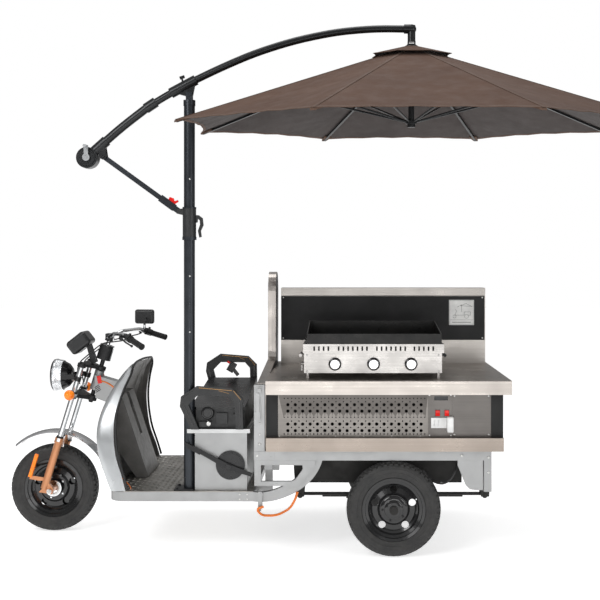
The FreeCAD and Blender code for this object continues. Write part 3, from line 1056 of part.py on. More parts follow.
def corner(i, R, dz):
    a = math.radians(22.5 + 45 * i)
    return V(HX + R * math.cos(a), MY + R * math.sin(a), HZ + dz)


def octo(R, dz):
    return [corner(i, R, dz) for i in range(8)]


fr = [CY(34, (HX, MY, HZ - 26), (HX, MY, HZ - 6)), CY(9, (HX, MY, HZ - 8), (HX, MY, HZ + 4)), CY(16, (HX, MY, HZ - 400), (HX, MY, HZ - 20)),
      CY(30, (HX, MY, HZ - 412), (HX, MY, HZ - 392)), CY(22, (HX, MY, HZ - 430), (HX, MY, HZ - 404)),
      B(HX - 14.5, HX + 14.5, MY - 9, MY + 9, HZ - 10, HZ + 10), CY(9, (HX - 14.5, MY, HZ + 10), (HX + 14.5, MY, HZ + 10))]
for i in range(8):
    p = corner(i, 26, -18)
    q = corner(i, CR - 6, -CD - 8)
    u = (q - p)
    L = u.Length
    rib = B(0, L, -7, 7, -8, 4)
    a = 22.5 + 45 * i
    rib.rotate(V(0, 0, 0), V(0, 1, 0), math.degrees(math.atan2(p.z - q.z, math.hypot(q.x - p.x, q.y - p.y))))
    rib.rotate(V(0, 0, 0), V(0, 0, 1), a)
    rib.translate(p)
    fr.append(rib)
    m = corner(i, CR * 0.52, -CD * 0.52 - 20)
    n = corner(i, 24, -402)
    fr.append(CY(5.5, n, m))
frame_c = union(fr)
frame_c = frame_c.cut(CY(5.05, (HX - 60, MY, HZ + 10), (HX + 60, MY, HZ + 10)))
feat("canopy_frame", tilted(frame_c, TC, (1, 0, 0), TI))


def pyramid(R1, z1, R0, z0):
    w1 = Part.makePolygon(octo(R1, z1) + [octo(R1, z1)[0]])
    w0 = Part.makePolygon(octo(R0, z0) + [octo(R0, z0)[0]])
    return Part.makeLoft([w1, w0], True, True)


co_ = pyramid(CR, -CD, 40, -10).cut(pyramid(CR + 0.01, -CD - 1.6, 40, -11.6))
SAG = 52.0                                          # how far each edge curves in between two ribs
ap_ = CR * math.cos(math.radians(22.5))
half_ = CR * math.sin(math.radians(22.5))
rho = (half_ ** 2 + SAG ** 2) / (2 * SAG)
for i in range(8):
    a = math.radians(45 * i)
    c_ = V(HX + (ap_ - SAG + rho) * math.cos(a), MY + (ap_ - SAG + rho) * math.sin(a), HZ - 700)
    co_ = co_.cut(Part.makeCylinder(rho, 800, c_))
co_ = co_.cut(CY(36, (HX, MY, HZ - 60), (HX, MY, HZ + 30)))
cv_ = pyramid(226, -46, 38, 2).cut(pyramid(226.01, -47.6, 38, 0.4))
cv_ = cv_.cut(CY(34, (HX, MY, HZ - 60), (HX, MY, HZ + 30)))
feat("canopy_cloth", tilted(Part.makeCompound([co_, cv_]), TC, (1, 0, 0), TI))
print("axis", tuple(AX), "stem", tuple(S0 + SHIFT.Base), "grip", tuple(hu))


# ---------------------------------------------------------------- lapped and welded parts give way to each other
doc.recompute()
byname = dict(NODES)
INV = SHIFT.inverse()


def raw(label):
    s = byname[label].Shape.copy()
    s.Placement = INV.multiply(s.Placement)
    return s


TRIM = [("end_cheek", "cargo_bed"), ("bed_brackets", "main_frame"), ("front_fender", "fork_lowers"),
        ("shield_trim", "leg_shield"), ("shield_liner", "leg_shield"), ("shield_liner", "shield_trim"), ("shield_liner", "main_frame"),
        ("turn_signals", "steering_stem"), ("instrument_cluster", "steering_stem")]
for a, b in TRIM:
    o = byname[a]
    s = raw(a).cut(raw(b))
    keep = [q for q in s.Solids if q.Volume > 20]
    o.Shape = keep[0] if len(keep) == 1 else Part.makeCompound(keep)
    o.Placement = SHIFT

# ---------------------------------------------------------------- checks and export
doc.recompute()
doc.recompute()
bad = []
for o in doc.Objects:
    if "Invalid" in o.State or "Error" in o.State:
        bad.append(o.Name + " " + str(o.State))
if bad:
    raise RuntimeError("failed objects: " + "; ".join(bad))
os.makedirs("parts", exist_ok=True)
for f in os.listdir("parts"):
    if f.endswith(".step"):
        os.remove(os.path.join("parts", f))
total = FreeCAD.BoundBox()
seen = set()
for label, o in NODES:
    sh = o.Shape
    if sh.isNull() or not sh.isValid() or not sh.Solids:
        raise RuntimeError("bad shape: " + label)
    if label in seen or o.Label != label:
        raise RuntimeError("label clash: " + label + " " + o.Label)
    seen.add(label)
    bb = sh.BoundBox
    total.add(bb)
    sh.exportStep("parts/%s.step" % label)
    print("%-22s solids %3d vol %12.0f  x %8.1f %8.1f  y %8.1f %8.1f  z %8.1f %8.1f" % (
        label, len(sh.Solids), sh.Volume, bb.XMin, bb.XMax, bb.YMin, bb.YMax, bb.ZMin, bb.ZMax))
print("all", len(NODES), "x", total.XMin, total.XMax, "y", total.YMin, total.YMax, "z", total.ZMin, total.ZMax)
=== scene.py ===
"""Looks of the electric cargo tricycle with a griddle worktop and a cantilever parasol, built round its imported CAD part."""
import math

import bpy
import bmesh
from mathutils import Matrix, Vector


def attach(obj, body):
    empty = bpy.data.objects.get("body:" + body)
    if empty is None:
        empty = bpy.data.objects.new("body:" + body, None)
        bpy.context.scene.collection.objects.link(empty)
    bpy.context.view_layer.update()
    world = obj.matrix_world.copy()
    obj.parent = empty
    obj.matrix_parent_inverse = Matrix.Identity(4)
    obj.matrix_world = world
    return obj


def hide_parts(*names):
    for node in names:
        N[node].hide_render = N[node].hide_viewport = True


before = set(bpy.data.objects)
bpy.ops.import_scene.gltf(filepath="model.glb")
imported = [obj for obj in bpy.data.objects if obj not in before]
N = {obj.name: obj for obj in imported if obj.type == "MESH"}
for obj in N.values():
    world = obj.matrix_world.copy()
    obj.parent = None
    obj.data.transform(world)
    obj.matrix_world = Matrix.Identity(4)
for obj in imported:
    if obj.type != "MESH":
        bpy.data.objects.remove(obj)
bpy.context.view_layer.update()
scene = bpy.context.scene
SX, SY = 0.18882, 0.43493


def P(x, y, z):
    """vehicle frame in millimetres to the row frame in metres"""
    return Vector((x / 1000.0 + SX, y / 1000.0 + SY, z / 1000.0))


# ---------------------------------------------------------------- camera
cam_data = bpy.data.cameras.new("camera")
cam_data.lens = 63.98
cam_data.sensor_width = 36.0
cam_data.shift_x = -0.075
cam_data.shift_y = -0.0633
cam_data.clip_end = 100.0
cam = bpy.data.objects.new("camera", cam_data)
scene.collection.objects.link(cam)
cam.location = (0.18882, -5.76507, 1.5547)
cam.rotation_euler = (math.radians(90), 0, 0)
scene.camera = cam
scene.view_settings.view_transform = "Standard"
scene.view_settings.look = "None"

# ---------------------------------------------------------------- materials


class Mat:
    """a small helper round one Principled material"""

    def __init__(self, name, color=(0.5, 0.5, 0.5), metallic=0.0, rough=0.5):
        self.m = bpy.data.materials.new(name)
        self.m.use_nodes = True
        self.t = self.m.node_tree
        self.b = self.t.nodes["Principled BSDF"]
        self.b.inputs["Base Color"].default_value = (*color, 1.0)
        self.b.inputs["Metallic"].default_value = metallic
        self.b.inputs["Roughness"].default_value = rough
        self.h = None

    def n(self, kind, **kw):
        o = self.t.nodes.new(kind)
        for k, v in kw.items():
            if hasattr(o, k) and k not in o.inputs:
                setattr(o, k, v)
        return o

    def link(self, a, b):
        self.t.links.new(a, b)

    def coord(self, scale=(1, 1, 1), loc=(0, 0, 0), rot=(0, 0, 0)):
        tc = self.n("ShaderNodeTexCoord")
        mp = self.n("ShaderNodeMapping")
        mp.inputs["Scale"].default_value = scale
        mp.inputs["Location"].default_value = loc
        mp.inputs["Rotation"].default_value = rot
        self.link(tc.outputs["Object"], mp.inputs["Vector"])
        return mp.outputs["Vector"]

    def noise(self, scale, detail=4.0, vec=None, rough=0.55, dist=0.0):
        o = self.n("ShaderNodeTexNoise")
        o.inputs["Scale"].default_value = scale
        o.inputs["Detail"].default_value = detail
        o.inputs["Roughness"].default_value = rough
        o.inputs["Distortion"].default_value = dist
        self.link(vec if vec is not None else self.coord(), o.inputs["Vector"])
        return o.outputs["Fac"]

    def voronoi(self, scale, vec=None, feature="F1"):
        o = self.n("ShaderNodeTexVoronoi")
        o.feature = feature
        o.inputs["Scale"].default_value = scale
        self.link(vec if vec is not None else self.coord(), o.inputs["Vector"])
        return o.outputs["Distance"]

    def wave(self, scale, vec=None, direction="X", dist=0.0, profile="SIN"):
        o = self.n("ShaderNodeTexWave")
        o.bands_direction = direction
        o.wave_profile = profile
        o.inputs["Scale"].default_value = scale
        o.inputs["Distortion"].default_value = dist
        self.link(vec if vec is not None else self.coord(), o.inputs["Vector"])
        return o.outputs["Fac"]

    def ramp(self, fac, stops):
        o = self.n("ShaderNodeValToRGB")
        e = o.color_ramp.elements
        while len(e) < len(stops):
            e.new(0.5)
        for i, (p, c) in enumerate(stops):
            e[i].position = p
            e[i].color = (*c, 1.0) if len(c) == 3 else c
        self.link(fac, o.inputs["Fac"])
        return o.outputs["Color"]

    def maprange(self, fac, a, b, lo=0.0, hi=1.0):
        o = self.n("ShaderNodeMapRange")
        o.inputs["From Min"].default_value = lo
        o.inputs["From Max"].default_value = hi
        o.inputs["To Min"].default_value = a
        o.inputs["To Max"].default_value = b
        self.link(fac, o.inputs["Value"])
        return o.outputs["Result"]

    def math(self, op, a, b):
        o = self.n("ShaderNodeMath")
        o.operation = op
        for i, v in enumerate((a, b)):
            if isinstance(v, (int, float)):
                o.inputs[i].default_value = v
            else:
                self.link(v, o.inputs[i])
        return o.outputs[0]

    def mixc(self, fac, a, b, blend="MIX"):
        o = self.n("ShaderNodeMix")
        o.data_type = "RGBA"
        o.blend_type = blend
        ins = [i for i in o.inputs if i.type == "RGBA"]
        f = o.inputs[0]
        if isinstance(fac, (int, float)):
            f.default_value = fac
        else:
            self.link(fac, f)
        for i, v in zip(ins, (a, b)):
            if isinstance(v, tuple):
                i.default_value = (*v, 1.0)
            else:
                self.link(v, i)
        return [x for x in o.outputs if x.type == "RGBA"][0]

    def color(self, out):
        self.link(out, self.b.inputs["Base Color"])

    def rough(self, out):
        self.link(out, self.b.inputs["Roughness"])

    def bump(self, fac, strength, dist):
        o = self.n("ShaderNodeBump")
        o.inputs["Strength"].default_value = strength
        o.inputs["Distance"].default_value = dist
        self.link(fac, o.inputs["Height"])
        if self.h is not None:
            self.link(self.h, o.inputs["Normal"])
        self.h = o.outputs["Normal"]
        self.link(self.h, self.b.inputs["Normal"])


def grunge(m, c0, c1, scale=6.0, r0=0.3, r1=0.5, lo=0.35, hi=0.65, vec=None):
    """slow colour and roughness variation"""
    f = m.noise(scale, 6.0, vec)
    m.color(m.ramp(f, [(lo, c0), (hi, c1)]))
    m.rough(m.maprange(m.noise(scale * 3.1, 5.0, vec), r0, r1, 0.3, 0.7))


def painted(name, c, metallic=0.0, r=(0.32, 0.5), peel=0.12, var=0.08, coat=0.0):
    m = Mat(name, c, metallic, r[0])
    c1 = tuple(min(1.0, x * (1 + var)) for x in c)
    c0 = tuple(x * (1 - var) for x in c)
    grunge(m, c0, c1, 5.0, *r)
    m.bump(m.noise(420.0, 2.0), peel, 0.0004)
    m.bump(m.noise(30.0, 3.0), peel * 0.6, 0.0012)
    m.b.inputs["Coat Weight"].default_value = coat
    return m


def plastic(name, c, r=(0.42, 0.62), grain=0.3, gs=900.0, var=0.15):
    m = Mat(name, c, 0.0, r[0])
    c1 = tuple(min(1.0, x * (1 + var)) for x in c)
    c0 = tuple(x * (1 - var) for x in c)
    grunge(m, c0, c1, 9.0, *r)
    m.bump(m.noise(gs, 2.0), grain, 0.0003)
    return m


def stainless(name, c, axis="X", r=(0.22, 0.42), ani=0.35, var=0.12):
    """brushed sheet: long thin scratches along one axis, hand marks and slow waves"""
    m = Mat(name, c, 1.0, r[0])
    s = {"X": (1.2, 260, 260), "Y": (260, 1.2, 260), "Z": (260, 260, 1.2)}[axis]
    v = m.coord(s)
    f = m.noise(1.0, 4.0, v, 0.7)
    slow = m.noise(2.6, 5.0)
    c1 = tuple(min(1.0, x * (1 + var)) for x in c)
    c0 = tuple(x * (1 - var) for x in c)
    base = m.ramp(slow, [(0.3, c0), (0.7, c1)])
    m.color(m.mixc(m.maprange(f, 0.0, 0.35, 0.3, 0.7), base, tuple(x * 0.72 for x in c)))
    m.rough(m.math("ADD", m.maprange(f, r[0], r[1], 0.25, 0.75), m.maprange(m.noise(9.0, 6.0), -0.05, 0.08, 0.3, 0.7)))
    m.bump(f, 0.10, 0.0003)
    m.bump(m.noise(4.0, 3.0), 0.12, 0.006)
    m.b.inputs["Anisotropic"].default_value = ani
    return m


MATS = {}


def give(node, mat):
    """put one material on a CAD node"""
    o = N[node]
    o.data.materials.clear()
    o.data.materials.append(mat.m if isinstance(mat, Mat) else mat)


silver = painted("silver_frame_paint", (0.36, 0.363, 0.363), 0.75, (0.34, 0.48), 0.10, 0.06)
silver_hi = painted("silver_lid_paint", (0.55, 0.555, 0.555), 0.6, (0.30, 0.44), 0.08, 0.05)
shieldm = painted("silver_shield_moulding", (0.50, 0.515, 0.525), 0.75, (0.27, 0.38), 0.05, 0.05, 0.4)
shieldm.b.inputs["Coat Roughness"].default_value = 0.08
shieldm.bump(shieldm.noise(5.0, 1.0), 0.12, 0.01)
linerm = plastic("grey_liner_plastic", (0.165, 0.160, 0.152), (0.30, 0.46), 0.35, 700.0, 0.22)
rubber = plastic("black_edge_rubber", (0.012, 0.012, 0.012), (0.45, 0.65), 0.25, 500.0)
gripm = plastic("black_grip_rubber", (0.012, 0.012, 0.012), (0.5, 0.7), 0.4, 1100.0)
blackp = plastic("black_moulding", (0.012, 0.0125, 0.013), (0.30, 0.48), 0.28, 1000.0, 0.3)
blackg = plastic("black_gloss_moulding", (0.009, 0.009, 0.0095), (0.14, 0.26), 0.08, 600.0, 0.3)
blackm = painted("black_powder_coat", (0.013, 0.013, 0.014), 0.3, (0.35, 0.5), 0.3, 0.2)
gearcov = painted("black_gear_cover_paint", (0.012, 0.012, 0.013), 0.2, (0.22, 0.36), 0.15, 0.2)
mastm = painted("mast_dark_steel_paint", (0.030, 0.034, 0.040), 0.65, (0.26, 0.38), 0.12, 0.15)
boomm = painted("boom_black_paint", (0.014, 0.015, 0.016), 0.5, (0.24, 0.36), 0.12, 0.2)
crankm = plastic("grey_crank_plastic", (0.33, 0.34, 0.35), (0.3, 0.45), 0.1)
chrome = Mat("chrome_plate", (0.78, 0.79, 0.80), 1.0, 0.08)
grunge(chrome, (0.70, 0.71, 0.72), (0.85, 0.86, 0.87), 12.0, 0.05, 0.16)
chrome.bump(chrome.noise(60.0, 3.0), 0.05, 0.0006)
fendm = Mat("fender_polished_steel", (0.66, 0.66, 0.66), 1.0, 0.2)
grunge(fendm, (0.55, 0.55, 0.56), (0.74, 0.74, 0.75), 9.0, 0.14, 0.30)
fendm.bump(fendm.noise(26.0, 4.0), 0.14, 0.002)
fendm.bump(fendm.wave(120.0, None, "Y", 3.0), 0.05, 0.0008)
copper = painted("copper_fork_paint", (0.56, 0.245, 0.115), 0.55, (0.28, 0.42), 0.14, 0.08, 0.2)
amber = Mat("amber_lens_painted_glow", (0.95, 0.20, 0.004), 0.0, 0.14)
grunge(amber, (0.90, 0.17, 0.003), (1.0, 0.27, 0.01), 30.0, 0.10, 0.2)
amber.bump(amber.voronoi(260.0), 0.4, 0.0015)
# a faint painted glow on the amber lenses and reflectors, which are not lit
amber.b.inputs["Emission Color"].default_value = (0.95, 0.22, 0.01, 1)
amber.b.inputs["Emission Strength"].default_value = 0.12
redm = Mat("red_plastic_painted_glow", (0.62, 0.008, 0.006), 0.0, 0.2)
grunge(redm, (0.52, 0.006, 0.005), (0.75, 0.016, 0.01), 60.0, 0.14, 0.24)
redm.bump(redm.noise(500.0, 2.0), 0.08, 0.0003)
# a faint painted glow on the red plastic parts, which are no lamps
redm.b.inputs["Emission Color"].default_value = (0.7, 0.01, 0.008, 1)
redm.b.inputs["Emission Strength"].default_value = 0.10
steel = stainless("stainless_worktop", (0.50, 0.46, 0.425), "X")
steel_z = stainless("stainless_upright", (0.50, 0.465, 0.435), "Z")
steel_back = stainless("stainless_backsplash", (0.50, 0.47, 0.44), "X", (0.24, 0.42))
skirtm = stainless("stainless_skirt", (0.36, 0.31, 0.27), "X", (0.24, 0.40))
ventm = stainless("perforated_steel", (0.23, 0.215, 0.20), "X", (0.28, 0.42))
# painted shade: a darker copy of the perforated steel for the upper part of the same panel
vent_painted_shade = stainless("perforated_steel_upper_painted_shade", (0.13, 0.12, 0.112), "X", (0.30, 0.44))
panelm = stainless("control_panel_steel", (0.15, 0.14, 0.132), "X", (0.28, 0.42))
griddlem = stainless("griddle_steel", (0.40, 0.385, 0.37), "X", (0.20, 0.34), 0.3, 0.08)
burnm = painted("burner_dark_steel", (0.03, 0.028, 0.026), 0.8, (0.4, 0.6), 0.2, 0.3)
pan = Mat("seasoned_black_pan", (0.012, 0.012, 0.012), 0.2, 0.3)
grunge(pan, (0.009, 0.009, 0.009), (0.015, 0.014, 0.013), 14.0, 0.26, 0.38)
pan.bump(pan.noise(260.0, 3.0), 0.12, 0.0006)
pan.bump(pan.noise(9.0, 2.0), 0.08, 0.002)
pan.b.inputs["Specular IOR Level"].default_value = 0.3
splash = painted("satin_black_sheet", (0.016, 0.016, 0.0165), 0.0, (0.36, 0.50), 0.10, 0.25)
board = painted("black_board_laminate", (0.014, 0.014, 0.014), 0.0, (0.35, 0.5), 0.35, 0.2)
splash.b.inputs["Specular IOR Level"].default_value = 0.22
board.b.inputs["Specular IOR Level"].default_value = 0.25
cablem = plastic("black_cable_sheath", (0.010, 0.010, 0.010), (0.35, 0.55), 0.15)
orange = plastic("orange_cable_sheath", (0.72, 0.17, 0.015), (0.30, 0.45), 0.15)
white = plastic("white_plug_plastic", (0.74, 0.74, 0.73), (0.25, 0.4), 0.08)
battm = plastic("battery_case_plastic", (0.02, 0.03, 0.05), (0.4, 0.55), 0.3)
gold = painted("gold_trim_paint", (0.42, 0.24, 0.10), 0.7, (0.25, 0.4), 0.1, 0.1)
undm = painted("black_axle_paint", (0.016, 0.015, 0.014), 0.4, (0.4, 0.62), 0.4, 0.35)
rimm = painted("black_rim_enamel", (0.009, 0.009, 0.0095), 0.15, (0.10, 0.2), 0.1, 0.2, 0.5)
knobm = Mat("turned_aluminium_knob", (0.62, 0.62, 0.63), 1.0, 0.22)
grunge(knobm, (0.62, 0.62, 0.63), (0.80, 0.80, 0.81), 20.0, 0.14, 0.28)
knobm.bump(knobm.noise(1.0, 3.0, knobm.coord((60, 1200, 60))), 0.1, 0.0004)
screen = Mat("dark_display_glass", (0.006, 0.006, 0.009), 0.0, 0.06)
grunge(screen, (0.005, 0.005, 0.008), (0.012, 0.012, 0.016), 6.0, 0.04, 0.1)
screen.bump(screen.noise(50.0, 2.0), 0.02, 0.0003)

# tread plate: crossing raised lozenges
tread = Mat("aluminium_tread_plate", (0.42, 0.40, 0.37), 1.0, 0.35)
grunge(tread, (0.34, 0.325, 0.30), (0.50, 0.48, 0.45), 9.0, 0.26, 0.44)
tread.bump(tread.noise(320.0, 3.0), 0.18, 0.0005)


# ---------------------------------------------------------------- mesh helpers
def obj_from(name, verts, faces, mat, body, smooth=True, angle=35.0):
    me = bpy.data.meshes.new(name)
    me.from_pydata([tuple(v) for v in verts], [], faces)
    me.validate()
    o = bpy.data.objects.new(name, me)
    scene.collection.objects.link(o)
    for m in (mat if isinstance(mat, (list, tuple)) else [mat]):
        me.materials.append(m.m if isinstance(m, Mat) else m)
    bm = bmesh.new()
    bm.from_mesh(me)
    bmesh.ops.recalc_face_normals(bm, faces=bm.faces)
    bm.to_mesh(me)
    bm.free()
    if smooth:
        me.polygons.foreach_set("use_smooth", [True] * len(me.polygons))
        me.set_sharp_from_angle(angle=math.radians(angle))
    if body:
        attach(o, body)
    return o


def lathe(name, prof, centre, axis, mat, body, seg=72, closed=True, arc=None, angle=35.0):
    """prof: (along axis, radius) pairs in metres"""
    a = Vector(axis).normalized()
    r = a.orthogonal().normalized()
    s = a.cross(r)
    c = Vector(centre)
    vs, fs = [], []
    n = len(prof)
    full = arc is None
    cnt = seg if full else seg + 1
    for i in range(cnt):
        t = (0 if full else arc[0]) + (2 * math.pi if full else (arc[1] - arc[0])) * i / seg
        e = r * math.cos(t) + s * math.sin(t)
        for u, q in prof:
            vs.append(c + a * u + e * q)
    for i in range(seg):
        j = (i + 1) % cnt
        for k in range(n if closed else n - 1):
            l = (k + 1) % n
            fs.append((i * n + k, i * n + l, j * n + l, j * n + k))
    return obj_from(name, vs, fs, mat, body, True, angle)


class Soup:
    """many small solids gathered into one piece"""

    def __init__(self):
        self.v, self.f, self.mi = [], [], []

    def box(self, c, sx, sy, sz, rot=None, bev=0.0, mi=0):
        """box with its top edges chamfered"""
        c = Vector(c)
        R = rot or Matrix.Identity(3)
        b = min(bev, sx * 0.49, sy * 0.49, sz * 0.49)
        pts = []
        for z, q in ((-sz, 0), (-sz + b, -b * 0), (sz - b, 0), (sz, b)) if b else ((-sz, 0), (sz, 0)):
            for x, y in ((-1, -1), (1, -1), (1, 1), (-1, 1)):
                pts.append(R @ Vector((x * (sx - q), y * (sy - q), z)) + c)
        base = len(self.v)
        self.v += pts
        L = len(pts) // 4
        self.f.append(tuple(base + i for i in (3, 2, 1, 0)))
        self.f.append(tuple(base + 4 * (L - 1) + i for i in range(4)))
        self.mi += [mi, mi]
        for l in range(L - 1):
            for i in range(4):
                j = (i + 1) % 4
                self.f.append((base + 4 * l + i, base + 4 * l + j, base + 4 * l + 4 + j, base + 4 * l + 4 + i))
                self.mi.append(mi)

    def disc(self, c, axis, prof, seg=24, mi=0):
        """lathed button: prof (along, radius), ends closed"""
        a = Vector(axis).normalized()
        r = a.orthogonal().normalized()
        s = a.cross(r)
        base = len(self.v)
        for i in range(seg):
            t = 2 * math.pi * i / seg
            e = r * math.cos(t) + s * math.sin(t)
            for u, q in prof:
                self.v.append(Vector(c) + a * u + e * q)
        n = len(prof)
        for i in range(seg):
            j = (i + 1) % seg
            for k in range(n - 1):
                self.f.append((base + i * n + k, base + i * n + k + 1, base + j * n + k + 1, base + j * n + k))
                self.mi.append(mi)
        self.f.append(tuple(base + i * n + n - 1 for i in range(seg)))
        self.f.append(tuple(base + i * n for i in reversed(range(seg))))
        self.mi += [mi, mi]

    def add(self, vs, fs, mi=0):
        b = len(self.v)
        self.v += [Vector(x) for x in vs]
        self.f += [tuple(b + i for i in f) for f in fs]
        self.mi += [mi] * len(fs)

    def done(self, name, mats, body, smooth=False, angle=30.0):
        o = obj_from(name, self.v, self.f, mats, body, smooth, angle)
        if isinstance(mats, (list, tuple)) and len(o.data.polygons) == len(self.mi):
            o.data.polygons.foreach_set("material_index", self.mi)
        return o


def tube(name, pts, r, mat, body, cyclic=False, order=3):
    """held strip or wire along points, as a bevelled curve"""
    cu = bpy.data.curves.new(name, "CURVE")
    cu.dimensions = "3D"
    sp = cu.splines.new("NURBS")
    sp.points.add(len(pts) - 1)
    for q, p in zip(sp.points, pts):
        q.co = (*p, 1.0)
    sp.use_cyclic_u = cyclic
    sp.order_u = order
    if not cyclic:
        sp.use_endpoint_u = True
    cu.bevel_depth = r
    cu.bevel_resolution = 3
    cu.resolution_u = 6
    cu.use_fill_caps = True
    cu.materials.append(mat.m)
    o = bpy.data.objects.new(name, cu)
    scene.collection.objects.link(o)
    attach(o, body)
    return o


def catmull(pts, n):
    """smooth curve through the points, n steps between each two"""
    out = []
    m = len(pts)
    for i in range(m - 1):
        p0 = pts[max(i - 1, 0)]
        p1, p2 = pts[i], pts[i + 1]
        p3 = pts[min(i + 2, m - 1)]
        for k in range(n):
            t = k / n
            out.append(tuple(0.5 * ((2 * b) + (-a + c) * t + (2 * a - 5 * b + 4 * c - d) * t * t + (-a + 3 * b - 3 * c + d) * t ** 3)
                             for a, b, c, d in zip(p0, p1, p2, p3)))
    out.append(tuple(pts[-1]))
    return out


def regions(node, base, rules):
    """materials by place on a CAD node; each rule is (material, test(x, y, z, normal)) in vehicle millimetres"""
    me = N[node].data
    me.materials.clear()
    for m in [base] + [r[0] for r in rules]:
        me.materials.append(m.m if isinstance(m, Mat) else m)
    for p in me.polygons:
        c = p.center
        x, y, z = (c.x - SX) * 1000, (c.y - SY) * 1000, c.z * 1000
        p.material_index = 0
        for i, (m, fn) in enumerate(rules):
            if fn(x, y, z, p.normal):
                p.material_index = i + 1


# ---------------------------------------------------------------- materials on the CAD nodes
for names, m in (
        (("main_frame", "cargo_bed", "bed_brackets", "seat_box"), silver), (("seat_box_lid",), silver_hi), (("neck_cover",), silver),
        (("deck_plate",), tread), (("shield_liner",), linerm), (("shield_trim",), rubber), (("battery_pack",), battm), (("gear_cover",), gearcov),
        (("gear_lever",), blackm), (("cabinet",), board), (("side_skirt",), skirtm), (("worktop",), steel),
        (("backsplash",), steel_back), (("splash_panel",), splash), (("griddle_burners",), burnm), (("griddle_pan",), pan), (("mast_socket",), blackm),
        (("rear_axle",), undm), (("steering_stem",), blackm), (("handlebar",), chrome), (("headlamp",), blackg), (("front_cables",), cablem),
        (("throttle_grip",), gripm), (("brake_lever_left", "brake_lever_right"), blackm), (("mirror",), blackp), (("front_fender",), fendm),
        (("front_rim", "rear_rim_left", "rear_rim_right"), rimm), (("mast",), mastm), (("mast_collar",), blackp), (("boom",), boomm), (("crank_handle",), crankm),
        (("strut",), mastm), (("lock_lever",), redm), (("canopy_frame",), boomm), (("rocker_left", "rocker_right"), redm)):
    for q in names:
        give(q, m)

# the perforated panel above z 742 mm gets the darker copy of its steel, painted shade
regions("vent_panel", ventm, [(vent_painted_shade, lambda x, y, z, n: z > 742)])

# stem: chrome stanchions and column, black clamps
AXv = Vector((0.29237170, 0.0, 0.95630476))
regions("steering_stem", blackm, [(chrome, lambda x, y, z, n: (z < 745 and abs(y) > 90) or (785 < z < 925 and abs(y) > 90) or (z > 985 and z < 1096 and abs(y) < 14.5)
                                   or (z > 1000 and abs(y) < 16 and x > -1390))])
regions("turn_signals", blackp, [(amber, lambda x, y, z, n: abs(y) > 180)])
regions("fork_lowers", copper, [(amber, lambda x, y, z, n: x < -1740 and z > 322 and (abs(y) > 121.5 or z > 339)), (chrome, lambda x, y, z, n: abs(y) < 70 or abs(y) > 137),
                                (blackp, lambda x, y, z, n: z > 551)])
regions("instrument_cluster", blackp, [(blackg, lambda x, y, z, n: n.z > 0.6 and z > 1080)])
regions("underbody_cables", cablem, [(orange, lambda x, y, z, n: x < -240 and y < -500)])
regions("handlebar_controls", blackp, [(gripm, lambda x, y, z, n: y < -290), (chrome, lambda x, y, z, n: z > 1160 and y > 200)])
regions("mast_collar", blackp, [(mastm, lambda x, y, z, n: z > 1840 or z < 1692)])
regions("end_cheek", steel_z, [(board, lambda x, y, z, n: n.x > 0.9 and x > -423.5)])
regions("control_panel", panelm, [
    (screen, lambda x, y, z, n: 473 < x < 549 and 818 < z < 842 and y < -523),
    (white, lambda x, y, z, n: y < -523.5 and ((457 < x < 541 and 671 < z < 727) or (540.2 < x < 577 and 649 < z < 735)))])
regions("griddle_body", griddlem, [(blackm, lambda x, y, z, n: x > 535),(burnm, lambda x, y, z, n: z > 1066 and y > -437 and abs(n.z) < 0.9 and y < -20 and -205 < x < 510)])
for k in ("knob_left", "knob_centre", "knob_right"):
    regions(k, knobm, [(blackg, lambda x, y, z, n: y > -463.2)])
regions("power_station", blackp, [
    (blackg, lambda x, y, z, n: (z < 700 and -530 < y < -490) and False),
    (gearcov, lambda x, y, z, n: n.z > 0.9 and z > 760 and y > -480 and y < 380)])

# ---------------------------------------------------------------- tyres
tyrem = Mat("tyre_rubber_compound", (0.016, 0.016, 0.016), 0.0, 0.55)
grunge(tyrem, (0.013, 0.013, 0.013), (0.024, 0.023, 0.022), 22.0, 0.42, 0.66)
tyrem.bump(tyrem.noise(600.0, 2.0), 0.25, 0.0004)
tyrem.bump(tyrem.noise(90.0, 3.0), 0.12, 0.0008)


